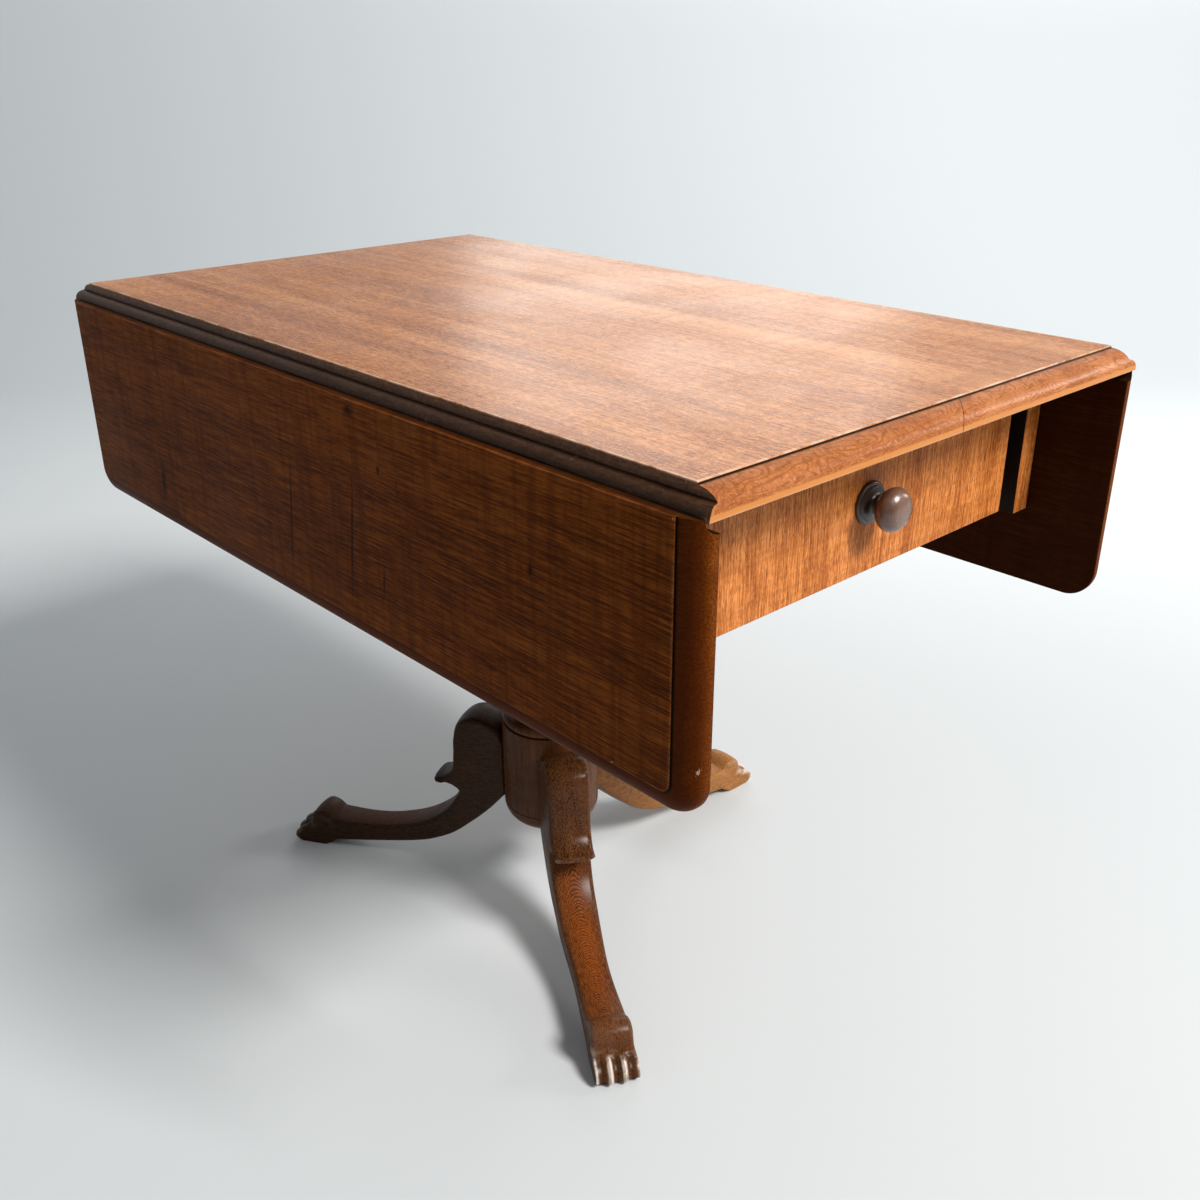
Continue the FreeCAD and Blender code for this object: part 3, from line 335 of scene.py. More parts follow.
@once("node_groups")
def edge_wear(name):
    """Broken wear along the edges, and patchy darkening in the quirks and joints, which is painted shade on the knob's
    flange and on the rear left leg.
    """
    group, tree, start = shader_group(name, ("Edge", "Quirk"), ("Worn", "Dirt", "Nick"))
    patch = tree.noise(start["Vector"], 38.0, 4.0, 0.65)
    speck = tree.noise(start["Vector"], 210.0, 2.0)
    darkening = tree.noise(start["Vector"], 120.0)
    tree.add("NodeGroupOutput", {
        "Worn": tree.times(start["Edge"], tree.span(patch, 0.36, 0.62)),
        "Dirt": tree.times(start["Quirk"], tree.span(darkening, 0.1, 0.36)),
        "Nick": tree.times(start["Edge"], tree.span(speck, 0.66, 0.7)),
    })
    return group


@once("node_groups")
def handling(name):
    """Marks of use on a polished face: broad dull patches and fine scratches."""
    group, tree, start = shader_group(name, (), ("Dull", "Scratch"))
    patch = tree.noise(start["Vector"], (7.0, 5.0, 7.0), 5.0, 0.6)
    scratch = tree.noise(start["Vector"], (60.0, 900.0, 60.0), 3.0, 0.5, 1.4)
    tree.add("NodeGroupOutput", {"Dull": tree.span(patch, 0.35, 0.68), "Scratch": tree.span(scratch, 0.68, 0.74)})
    return group


ALONG_Y = (0.0, 0.0, 0.0)
ALONG_X = (0.0, 0.0, math.pi / 2)
ALONG_Z = (math.pi / 2, 0.0, 0.0)

# A wood finish: turn of its grain, kind of its colours, fineness, waviness, shares of tone, mottle, ripple, pore and
# fleck, spread of the grain's colours, share of wear, shiniest and dullest roughness, coat on the wood and on darkened
# places, and gloss
Finish = namedtuple("Finish", "turn kind fine wavy tone mottle ripple pore fleck spread wear rough coat gloss")
NO_COAT = (0.0, 0.0)
OAK = ("oak", 0.8, 0.006, 0.4, 0.2, 0.15, 0.6, 0.2, 0.16, 0.4, (0.55, 0.75), NO_COAT, 0.3)
# The top takes a high share of wear and the leaves a low one: the top's pale arrises are wear and painted highlight
WOODS = {
    "top_polish": Finish(ALONG_Y, "top", 1.0, 0.006, 0.32, 0.36, 0.25, 0.5, 0.5, 0.085, 0.9, (0.3, 0.37),
                         (0.0, 0.3), 0.12),
    "leaf_polish": Finish(ALONG_Y, "leaf", 1.0, 0.005, 0.22, 0.14, 0.45, 0.8, 0.06, 0.09, 0.04, (0.36, 0.44),
                          NO_COAT, 0.02),
    "front_veneer": Finish(ALONG_Z, "front", 1.4, 0.004, 0.2, 0.26, 0.25, 1.0, 0.12, 0.085, 0.3, (0.4, 0.5),
                           NO_COAT, 0.1),
    "turned_polish": Finish(ALONG_Z, "leg", 1.0, 0.006, 0.6, 0.1, 0.2, 0.5, 0.1, 0.16, 0.5, (0.24, 0.36),
                            (0.08, 0.0), 0.1),
    "knob_polish": Finish(ALONG_Z, "knob", 1.4, 0.004, 0.6, 0.1, 0.1, 0.3, 0.1, 0.16, 0.4, (0.2, 0.3),
                          (0.2, 0.02), 0.7),
    "inner_stain": Finish(ALONG_Y, "stain", 0.8, 0.006, 0.5, 0.1, 0.1, 0.5, 0.0, 0.16, 0.2, (0.6, 0.8),
                          NO_COAT, 0.1),
    "oak_along": Finish(ALONG_Y, *OAK),
    "oak_across": Finish(ALONG_X, *OAK),
}


def new_material(name):
    """An empty material with its tree."""
    material = bpy.data.materials.new(name)
    material.use_nodes = True
    material.node_tree.nodes.clear()
    return material, Tree(material.node_tree)


def worn_edges(tree, place):
    """Wear, dirt and nicks from what a piece keeps."""
    return tree.group(edge_wear(), {"Vector": place, "Edge": tree.attribute(WEAR), "Quirk": tree.attribute(DARKENING)})


@once("materials")
def wood(name):
    """A wood finish: grain, stains and painted shade, worn edges, darkened quirks and the polish over them."""
    finish = WOODS[name]
    material, tree = new_material(name)
    place = tree.add("ShaderNodeTexCoord")["Object"]
    along = tree.add("ShaderNodeMapping", {"Vector": place, "Rotation": finish.turn})[0]
    grain = tree.group(wood_grain(), {"Vector": along, "Fineness": finish.fine, "Waviness": finish.wavy})
    tone = tree.times(grain["Streak"], 1.0 - finish.tone - finish.mottle)
    for layer, share in (("Tone", finish.tone), ("Mottle", finish.mottle)):
        tone = tree.plus(tone, tree.times(grain[layer], share))
    deep, mid, pale = hues(finish.kind)
    colour = tree.ramp(tone, [(0.5 - finish.spread, deep), (0.5, mid), (0.5 + finish.spread, pale)])
    dark, bright = hue(finish.kind + "_deep", 0.45), hue(finish.kind + "_pale", 1.25)
    ripple = tree.span(grain["Ripple"], 0.42, 0.68)
    for mask, share, over in ((ripple, finish.ripple, deep), (grain["Pore"], finish.pore, dark),
                              (grain["Fleck"], finish.fleck, bright)):
        colour = tree.blend(tree.times(mask, share), colour, over)
    for mask, over in wood_stains(name, tree, place):
        colour = tree.blend(mask, colour, hue(over))
    wear = worn_edges(tree, place)
    for kind in ("Worn", "Nick"):
        colour = tree.blend(tree.times(wear[kind], finish.wear), colour, hue("worn"))
    colour = tree.blend(wear["Dirt"], colour, hue("grime"))
    marks = tree.group(handling(), {"Vector": along})
    dull = tree.plus(tree.span(marks["Dull"], 0.0, 1.0, *finish.rough), tree.times(wear["Dirt"], 0.1))
    dull = tree.plus(dull, tree.times(marks["Scratch"], 0.12))
    height = tree.minus(tree.times(grain["Streak"], 0.35), grain["Pore"])
    height = tree.minus(height, tree.times(wear["Nick"], 3.0))
    tree.surface({"Base Color": colour, "Roughness": dull, "Normal": tree.bump(height, 0.35),
                  "Coat Weight": tree.span(wear["Dirt"], 0.3, 0.8, *finish.coat), "Coat Roughness": 0.22,
                  "Specular IOR Level": finish.gloss})
    return material


def wood_stains(name, tree, place):
    """Masks of what lies over the grain of a finish, each with the name of its colour; some of them are painted shade.
    """
    stain = tree.attribute(STAIN_AND_PAINTED_LIGHT)
    if name == "top_polish":
        return [(tree.span(stain, 0.0, 0.4, 0.0, 0.5), "top_mould"), (contour_grain(tree, place, stain), "top_deep"),
                (tree.span(stain, 0.5, 1.0, 0.0, 0.85), "top_square"), (board_seam(tree, place), "grime")]
    if name == "leaf_polish":
        # The leaves' moulding colour and inner face colour are painted shade; the marks and chips are the wood's own
        return [(tree.span(stain, 0.0, 1.0, 0.0, 0.8), "leaf_mould"), (leaf_back(tree, place), "back"),
                (leaf_spots(tree, place, LEAF_MARKS, *MARK_LOOK), "back"),
                (leaf_spots(tree, place, LEAF_CHIPS, *CHIP_LOOK), "worn")]
    if name == "front_veneer":
        # Painted shade on the side of a front post, in the gap beside the drawer
        return [(drawer_recess(tree, place), "grime")]
    return []


def contour_grain(tree, place, stain):
    """Mask of the winding lines where a moulding is cut through the layers of the grain."""
    field = tree.noise(place, (15.0, 15.0, 70.0), 2.0, 0.5, 0.5)
    line = tree.math("SINE", tree.times(field, 110.0))
    return tree.times(tree.span(stain, 0.1, 0.35), tree.span(line, 0.1, 1.0, 0.0, 0.6))


def board_seam(tree, place):
    """Mask of the open seam between two boards, seen in the moulding of the front end."""
    split = tree.split(place)
    along = tree.plus(split[1], TOP_END)
    middle = tree.plus(tree.times(along, 1.1), 2 * MIL)
    line = tree.span(tree.math("ABSOLUTE", tree.minus(split[0], middle)), 0.15 * MIL, 0.7 * MIL, 1.0, 0.0)
    return tree.times(line, tree.span(along, 20.5 * MIL, 22 * MIL, 1.0, 0.0))


def drawer_recess(tree, place):
    """Mask of painted shade on the side of a front post, in the gap beside the drawer."""
    side = tree.math("ABSOLUTE", tree.split(place)[0])
    past = tree.span(side, FRONT_HIGH.x + 0.1 * MIL, FRONT_HIGH.x + 0.3 * MIL)
    return tree.times(past, tree.span(side, POST_LOW.x + 0.1 * MIL, POST_LOW.x + 0.5 * MIL, 1.0, 0.0))


def leaf_back(tree, place):
    """Mask of painted shade on the inner face of a hanging leaf."""
    edge = LEAF_HIGH.x - (TABLE_TOP - UNDERSIDE)
    return tree.span(tree.math("ABSOLUTE", tree.split(place)[0]), edge + 0.2 * MIL, edge + 0.9 * MIL, 0.88, 0.0)


# Chips in the edge of the near leaf: place along it, height, and half its length and height
LEAF_CHIPS = ((-0.4975, 0.5105, 0.0012, 0.004), (-0.4215, 0.4885, 0.0022, 0.0008), (-0.112, 0.4735, 0.010, 0.0012),
              (-0.062, 0.4745, 0.004, 0.0010), (-0.4776, 0.6945, 0.0008, 0.0018))
# Dark marks in the figure of the near leaf, measured in the same way, and how far marks lean along it as they rise
LEAF_MARKS = ((0.0215, 0.5605, 0.0022, 0.072), (-0.085, 0.568, 0.0024, 0.075), (-0.0965, 0.686, 0.009, 0.0065),
              (-0.132, 0.5395, 0.0026, 0.018), (-0.1356, 0.643, 0.003, 0.006), (-0.3331, 0.614, 0.004, 0.006),
              (0.306, 0.5236, 0.008, 0.026))
MARK_LEAN = 0.15
# How fine the ragged edge of a mark and of a chip is, how ragged, and from where to where it fades
MARK_LOOK = (260.0, 1.0, (0.7, 1.7, 0.85, 0.0))
CHIP_LOOK = (1900.0, 4.5, (2.3, 2.6, 0.8, 0.0))


def leaf_spots(tree, place, spots, rough, ragged, edge):
    """Mask of ragged marks on the outer face of the near leaf: their noise, how ragged, and where they fade."""
    split = tree.split(place)
    noise = tree.times(tree.noise(place, rough, 2.0, 0.6), ragged)
    mask = 0.0
    for along, up, long, tall in spots:
        rise = tree.minus(split[2], up)
        away = tree.plus(tree.minus(split[1], along), tree.times(rise, MARK_LEAN))
        away, rise = (tree.math("POWER", tree.math("DIVIDE", off, half), 2.0)
                      for off, half in ((away, long), (rise, tall)))
        found = tree.span(tree.plus(tree.math("SQRT", tree.plus(away, rise)), noise), *edge)
        mask = tree.math("MAXIMUM", mask, found)
    outside = tree.span(split[0], -LEAF_HIGH.x + 14 * MIL, -LEAF_HIGH.x + 15 * MIL, 1.0, 0.0)
    return tree.times(mask, outside)


@once("materials")
def leg_polish(name):
    """Dark polish on the legs, rubbed to a red brown on the sweep between the knee and the ankle."""
    material, tree = new_material(name)
    deep, mid, pale = hues("leg")
    place = tree.attribute(GRAIN, "Vector")
    zone = tree.attribute(ZONE)
    bend = tree.noise(place, (9.0, 40.0, 9.0), 2.0)
    fine = tree.noise(place, (130.0, 700.0, 700.0), 4.0, 0.7)
    split = tree.split(place)
    arch = tree.minus(split[0], tree.times(tree.math("POWER", split[1], 2.0), 75.0))
    rings = tree.add("ShaderNodeTexWave", {
        "Vector": tree.combine(arch, split[1], split[2]), "Scale": 95.0, "Distortion": 7.0, "Detail": 3.0,
        "Detail Scale": 0.9}, bands_direction="X")[1]
    band = tree.times(tree.minus(rings, 0.5), tree.span(zone, 0.0, 1.0, 0.05, 0.2))
    tone = tree.plus(tree.plus(band, tree.times(fine, 0.75)), tree.times(bend, 0.25))
    dark = tree.ramp(tone, [(0.38, deep), (0.54, mid), (0.7, hue("leg_mid", 1.5))])
    red = tree.ramp(tone, [(0.38, hue("leg_pale", 0.25)), (0.64, pale)])
    # Golden painted sunlight, laid on where a leg's stain attribute holds it
    sunlit_gold = tree.ramp(tone, [(0.38, hue("faded", 0.45)), (0.64, hue("faded"))])
    colour = tree.blend(tree.attribute(STAIN_AND_PAINTED_LIGHT), tree.blend(zone, dark, red), sunlit_gold)
    wear = worn_edges(tree, place)
    colour = tree.blend(tree.times(wear["Worn"], 0.85), colour, hue("bare"))
    colour = tree.blend(wear["Dirt"], colour, hue("grime"))
    marks = tree.group(handling(), {"Vector": place})
    dull = tree.plus(tree.span(marks["Dull"], 0.0, 1.0, 0.24, 0.4), tree.times(wear["Dirt"], 0.3))
    height = tree.plus(tree.times(fine, 0.5), tree.times(rings, 0.2))
    tree.surface({"Base Color": colour, "Roughness": dull, "Normal": tree.bump(height, 0.3), "Coat Weight": 0.1,
                  "Coat Roughness": 0.25, "Specular IOR Level": 0.07})
    return material


@once("materials")
def old_iron(name):
    """Old wrought iron with rust."""
    material, tree = new_material(name)
    place = tree.add("ShaderNodeTexCoord")["Object"]
    patch = tree.span(tree.noise(place, 90.0, 5.0, 0.65), 0.45, 0.62)
    pits = tree.noise(place, 800.0)
    metal = tree.ramp(pits, [(0.3, hue("iron", 0.5)), (0.7, hue("iron"))])
    tree.surface({"Base Color": tree.blend(patch, metal, hue("rust")), "Normal": tree.bump(pits, 0.5),
                  "Metallic": tree.span(patch, 0.0, 1.0, 0.9, 0.1),
                  "Roughness": tree.span(patch, 0.0, 1.0, 0.42, 0.8)})
    return material


@once("materials")
def pale_floor(name):
    """Pale matt floor and backdrop with painted light: paler far from the camera, where less light falls, the floor
    darker and the backdrop paler to the right.
    """
    material, tree = new_material(name)
    place = tree.add("ShaderNodeTexCoord")["Object"]
    across, away = (tree.add("ShaderNodeVectorMath", {0: place, 1: (*way, 0.0)}, operation="DOT_PRODUCT")[1]
                    for way in (SIGHT_RIGHT, SIGHT))
    share = tree.plus(tree.span(across, -2.2, 1.6), tree.times(tree.noise(place, 5.0, 4.0), 0.04))
    # Painted light: the floor darkens to the right and the backdrop pales to the right
    near, far = (tree.ramp(share, [(0.0, hue("floor", left)), (1.0, hue("floor", right))])
                 for left, right in ((1.04, 0.9), (1.1, 1.3)))
    lift = tree.math("MAXIMUM", tree.span(tree.split(place)[2], 0.0, 1.2), tree.span(away, 0.2, 1.8, 0.0, 0.9))
    tree.surface({"Base Color": tree.blend(lift, near, far), "Roughness": 0.9, "Specular IOR Level": 0.1})
    return material


def coat(mesh, material):
    """Give a mesh one finish."""
    mesh.materials.clear()
    mesh.materials.append(material)


def paint(nodes, material):
    """Give nodes of the frame a finish."""
    for name in nodes:
        coat(frame["nodes"][name].data, material)


def show(name, mesh, material=None):
    """Put a mesh in the scene as a piece, of one material or of none yet."""
    piece = bpy.data.objects.new(name, mesh)
    bpy.context.scene.collection.objects.link(piece)
    if material is not None:
        coat(mesh, material)
    return piece


def smooth(piece, angle=30.0):
    """Shade a piece smooth and keep its edges sharp over an angle."""
    piece.data.shade_smooth()
    piece.data.set_sharp_from_angle(angle=math.radians(angle))


def to_mesh(name, bm, outward=True):
    """Turn a bmesh into a mesh with its doubles merged and its faces pointing outwards."""
    bmesh.ops.remove_doubles(bm, verts=bm.verts[:], dist=SAME)
    if outward:
        bmesh.ops.recalc_face_normals(bm, faces=bm.faces[:])
    mesh = bpy.data.meshes.new(name)
    bm.to_mesh(mesh)
    bm.free()
    return mesh


def bake(piece):
    """Turn a piece and its modifiers into a plain mesh."""
    bpy.context.view_layer.update()
    graph = bpy.context.evaluated_depsgraph_get()
    mesh = bpy.data.meshes.new_from_object(piece.evaluated_get(graph), preserve_all_data_layers=True,
                                           depsgraph=graph)
    piece.modifiers.clear()
    old = piece.data
    piece.data = mesh
    bpy.data.meshes.remove(old)


def cut(piece, tool, operation):
    """Cut a piece with a tool, or keep what both fill."""
    modifier = piece.modifiers.new("cut", "BOOLEAN")
    modifier.object = tool
    modifier.operation = operation
    modifier.solver = "EXACT"
    bake(piece)
    bpy.data.objects.remove(tool)


def fit(piece, body, slot, *nodes):
    """Ride a finished piece on its body in place of its nodes."""
    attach(piece, body)
    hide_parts(*nodes)


def through(points, steps):
    """A smooth line through points, with a number of steps to each span."""
    path = [Vector(point) for point in points]
    ends = [path[0] * 2 - path[1]] + path + [path[-1] * 2 - path[-2]]
    line = [path[0]]
    for before, start, end, after in zip(ends, ends[1:], ends[2:], ends[3:]):
        first, middle, last = ((b - a).length or 1.0 for a, b in ((before, start), (start, end), (end, after)))
        leave = ((start - before) / first * middle + (end - start) / middle * first) / (first + middle) * middle
        reach = ((end - start) / middle * last + (after - end) / last * middle) / (middle + last) * middle
        for step in range(1, steps + 1):
            t = step / steps
            line.append(start * (2 * t ** 3 - 3 * t ** 2 + 1) + leave * (t ** 3 - 2 * t ** 2 + t)
                        + end * (3 * t ** 2 - 2 * t ** 3) + reach * (t ** 3 - t ** 2))
    return line


def turn_points(centre, radius, start, end, steps):
    """Points of an arc about a centre, with angles in degrees."""
    points = []
    for step in range(steps + 1):
        angle = math.radians(start + (end - start) * step / steps)
        points.append(Vector((centre[0] + radius * math.cos(angle), centre[1] + radius * math.sin(angle))))
    return points


def layers(bm, *names):
    """Number layers on the points of a mesh."""
    return [bm.verts.layers.float.new(name) for name in names]


def skin(bm, rows, closed=False):
    """Faces between each row of points and the next, all round if the rows are closed."""
    for first, second in zip(rows, rows[1:]):
        for index in range(len(first) if closed else len(first) - 1):
            after = (index + 1) % len(first)
            bm.faces.new((first[index], first[after], second[after], second[index]))


# A place in a section of a board, with how worn and how darkened it is, and its stain, which is painted shade on the
# leaves
Spot = namedtuple("Spot", "across up worn dirty stained", defaults=(0.0, 0.0, 0.0))
MARKS = (WEAR, DARKENING, STAIN_AND_PAINTED_LIGHT)


def prism(name, outline, axis, low, high):
    """Solid with an outline run along an axis."""
    bm = bmesh.new()
    rings = []
    for place in (low, high):
        rings.append([bm.verts.new((spot[0], place, spot[1]) if axis == "Y" else (place, spot[0], spot[1]))
                      for spot in outline])
        bm.faces.new(rings[-1])
    skin(bm, rings, True)
    return show(name, to_mesh(name, bm))


def opposite(outline):
    """An outline's spots on the other side, in reverse order."""
    return [spot._replace(across=-spot.across) for spot in reversed(outline)]


def rounded_arris(edge, top, out, soft):
    """Spots over a worn edge, from the flat to the face below it."""
    spots = [Spot(edge - out * 6 * MIL, top), Spot(edge - out * 2.2 * MIL, top),
             Spot(edge - out * 1.4 * MIL, top, worn=0.6)]
    for step in range(5):
        angle = math.radians(22.5 * step)
        spots.append(Spot(edge - out * soft * (1 - math.sin(angle)), top - soft * (1 - math.cos(angle)),
                          worn=0.85 if step < 4 else 0.4))
    return spots


def mould_rows(polish, square, fade):
    """Section of the thumbnail moulding with insets for across, from the flat down to the underside.

    The two shares are the dark colour next to the quirk and on the square, which is old polish on the top and painted
    shade on the leaves, and the fade is the depth over which one passes into the other.
    """
    s = sizes()
    reach, quirk, soft = s.mould_reach, s.mould_quirk, s.arris
    drop = TABLE_TOP - UNDERSIDE - s.mould_square
    rows = [spot._replace(across=reach - spot.across) for spot in rounded_arris(0.0, TABLE_TOP, 1.0, soft)]
    rows.append(Spot(reach, TABLE_TOP - soft - 0.2 * MIL, dirty=0.9, stained=polish))
    rows.append(Spot(reach, TABLE_TOP - quirk + 0.2 * MIL, dirty=1.0, stained=polish))
    pull = 0.5523
    poles = [Vector(pole) for pole in ((reach, quirk), (reach * (1 - pull), quirk),
                                       (0.0, drop - (drop - quirk) * pull), (0.0, drop))]
    steps = 20
    for step in range(steps + 1):
        t = (step / steps) ** 1.3
        point = (poles[0] * (1 - t) ** 3 + poles[1] * 3 * t * (1 - t) ** 2 + poles[2] * 3 * t * t * (1 - t)
                 + poles[3] * t ** 3)
        dirty = clamp(1.4 - (reach - point.x) / (1.9 * MIL))
        share = clamp((drop - point.y) / fade)
        rows.append(Spot(point.x, TABLE_TOP - point.y, dirty=dirty, stained=square + (polish - square) * share))
    rows += [Spot(0.0, UNDERSIDE + soft * 2.5, stained=square), Spot(0.0, UNDERSIDE + soft, 0.2, 0.0, square),
             Spot(soft * 0.3, UNDERSIDE + soft * 0.3, 0.4, 0.0, square), Spot(soft, UNDERSIDE, 0.1, 0.0, square),
             Spot(soft * 3, UNDERSIDE)]
    return rows


def end_section(rows):
    """The section of a moulding at the ends of a board."""
    return [spot._replace(across=TOP_END - spot.across) for spot in rows]


def joint_curve(radius, start, dirty):
    """Spots of the bead or cove of the rule joint, from an angle down to the underside."""
    drop = math.degrees(math.asin((AXIS_Z - UNDERSIDE) / radius))
    return [Spot(point.x, point.y, dirty=dirty) for point in turn_points((AXIS_X, AXIS_Z), radius, start, -drop, 18)]


def joint_edge():
    """Right rule-joint edge of the top, from the flat to the underside."""
    s = sizes()
    edge = AXIS_X - s.joint_ledge
    ledge = TABLE_TOP - s.joint_fillet
    spots = rounded_arris(edge, TABLE_TOP, 1.0, s.arris)
    spots += [Spot(edge, TABLE_TOP - s.arris - 0.8 * MIL, dirty=0.55), Spot(edge, ledge, dirty=0.8),
              Spot(AXIS_X, ledge, dirty=1.0)]
    return spots + joint_curve(s.joint_bead, 90.0, 0.88)


def leaf_edge():
    """Joint edge of the raised leaf: the board behind it, its lip and its cove."""
    s = sizes()
    edge = AXIS_X - s.joint_ledge + s.leaf_gap
    lip = math.degrees(math.acos((edge - AXIS_X) / s.joint_cove))
    far = edge + s.leaf_width + PAST
    spots = [Spot(far, UNDERSIDE), Spot(far, TABLE_TOP)] + rounded_arris(edge, TABLE_TOP, -1.0, s.arris)
    spots.append(Spot(edge, TABLE_TOP - s.arris - 1.5 * MIL, dirty=0.5))
    return spots + joint_curve(s.joint_cove, lip, 0.9)


def hinge_places():
    """Middle of each hinge along the joint, read from the hinge pins."""
    found = {}
    for vert in frame["nodes"]["right_hinge_pins"].data.vertices:
        key = round(vert.co.y / 0.1)
        low, high = found.get(key, (vert.co.y, vert.co.y))
        found[key] = (min(low, vert.co.y), max(high, vert.co.y))
    return [(low + high) / 2 for low, high in found.values()]


def hinge_tool(outlines, half):
    """Tool that cuts outlines at each hinge."""
    bm = bmesh.new()
    for outline in outlines:
        for place in hinge_places():
            piece = prism("recess", outline, "Y", place - half, place + half)
            bm.from_mesh(piece.data)
            bpy.data.objects.remove(piece)
    return show("recesses", to_mesh("recesses", bm))


def top_housings():
    """Tool for the hinge housings along both edges of the top."""
    s = sizes()
    plate = UNDERSIDE + s.hinge_plate
    gap = 0.4 * MIL
    low = UNDERSIDE - 2 * MIL
    flap = AXIS_X - s.hinge_top_flap
    past = AXIS_X + s.joint_bead + 3 * MIL
    near = math.degrees(math.acos((plate - AXIS_Z) / s.hinge_room)) + 90.0
    far = 90.0 - math.degrees(math.acos((plate + gap - AXIS_Z) / s.hinge_room))
    barrel = [tuple(point) for point in turn_points((AXIS_X, AXIS_Z), s.hinge_room, near, far, 12)]
    outline = [(flap, low), (flap, plate)] + barrel + [(past, plate + gap), (past, low)]
    return hinge_tool([[(side * across, up) for across, up in outline] for side in (-1.0, 1.0)],
                      s.hinge_length / 2 + gap)


def leaf_recesses():
    """Tool for the hinge recesses under a raised right leaf."""
    s = sizes()
    low, high, far = UNDERSIDE - 2 * MIL, UNDERSIDE + s.hinge_plate, AXIS_X + s.hinge_leaf_flap
    return hinge_tool([[(AXIS_X, low), (far, low), (far, high), (AXIS_X, high)]], s.hinge_length / 2)


def leaf_plate(rows):
    """Moulded board of a raised right leaf, longer than the leaf on the joint side."""
    s = sizes()
    radius = s.leaf_corner
    start = AXIS_X - 15 * MIL
    outer = AXIS_X - s.joint_ledge + s.leaf_gap + s.leaf_width
    path = [((start, TOP_END), (0.0, 1.0))]
    for turn, centre in ((90.0, (outer - radius, TOP_END - radius)), (0.0, (outer - radius, radius - TOP_END))):
        for step in range(19):
            angle = math.radians(turn - 5.0 * step)
            out = (math.cos(angle), math.sin(angle))
            path.append(((centre[0] + radius * out[0], centre[1] + radius * out[1]), out))
    path.append(((start, -TOP_END), (0.0, -1.0)))
    bm = bmesh.new()
    marks = layers(bm, *MARKS)
    grid = []
    for spot in rows:
        row = []
        for place, out in path:
            vert = bm.verts.new((place[0] - out[0] * spot.across, place[1] - out[1] * spot.across, spot.up))
            for layer, value in zip(marks, spot[2:]):
                vert[layer] = value
            row.append(vert)
        grid.append(row)
    skin(bm, grid)
    for ring in (grid[0], grid[-1], [row[0] for row in grid] + [row[-1] for row in reversed(grid)]):
        bm.faces.new(ring)
    return show("right_leaf_board", to_mesh("right_leaf_board", bm))


# How near to a section a point takes its marks from it, and how far the sections reach from the joint's axis
SECTION_NEAR = 0.3 * MIL
JOINT_NEAR = 25 * MIL


def read_section(section, across, up):
    """Wear, darkening and stain of a section at a place on it, or none away from it; on the leaves the stain is painted
    shade.
    """
    place = Vector((across, up))
    nearest, found = SECTION_NEAR, (0.0, 0.0, 0.0)
    for first, second in zip(section, section[1:]):
        start = Vector(first[:2])
        run = Vector(second[:2]) - start
        share = clamp((place - start).dot(run) / max(run.length_squared, 1e-12))
        away = (place - start - run * share).length
        if away < nearest:
            nearest = away
            found = tuple(a + (b - a) * share for a, b in zip(first[2:], second[2:]))
    return found


def mark_faces(piece, joint, end):
    """Put the wear, darkening and stain of the joint and end sections on the corners of a cut board's faces; on the
    leaves the stain is painted shade.

    A cut leaves its new points unmarked, so points near the joint are read from the sections again.
    """
    mesh = piece.data
    kept = [(0.0, 0.0, 0.0)] * len(mesh.vertices)
    if WEAR in mesh.attributes:
        kept = list(zip(*([item.value for item in mesh.attributes[name].data] for name in MARKS)))
        for name in MARKS:
            mesh.attributes.remove(mesh.attributes[name])
    marks = {name: [0.0] * len(mesh.loops) for name in MARKS}
    for face in mesh.polygons:
        across, along, upward = (abs(part) for part in face.normal)
        level = upward > 0.9999
        for corner in face.loop_indices:
            vert = mesh.vertices[mesh.loops[corner].vertex_index]
            found = [kept[vert.index]]
            near = abs(vert.co.x) < AXIS_X + JOINT_NEAR
            if near and (level or across > along):
                found.append(read_section(joint, abs(vert.co.x), vert.co.z))
            if near and (level or along > across):
                found.append(read_section(end, abs(vert.co.y), vert.co.z))
            for name, values in zip(MARKS, zip(*found)):
                marks[name][corner] = max(values)
    for name in MARKS:
        mesh.attributes.new(name, "FLOAT", "CORNER").data.foreach_set("value", marks[name])


class PEMBROKE_OT_top(bpy.types.Operator):
    """Make the fixed top with its moulded ends and rule-joint edges"""
    bl_idname = "pembroke.top"
    bl_label = "Fixed top"

    def execute(self, context):
        right = joint_edge()
        board = prism("fixed_top_board", right + opposite(right), "Y", -TOP_END - PAST, TOP_END + PAST)
        end = end_section(mould_rows(0.4, 1.0, 2.5 * MIL))
        wide = TOP_HIGH.x + PAST
        cut(board, prism("ends", end + opposite(end), "X", -wide, wide), "INTERSECT")
        cut(board, top_housings(), "DIFFERENCE")
        mark_faces(board, right, end)
        coat(board.data, wood("top_polish"))
        smooth(board)
        fit(board, "table_frame", "mahogany", "fixed_top")
        return {"FINISHED"}


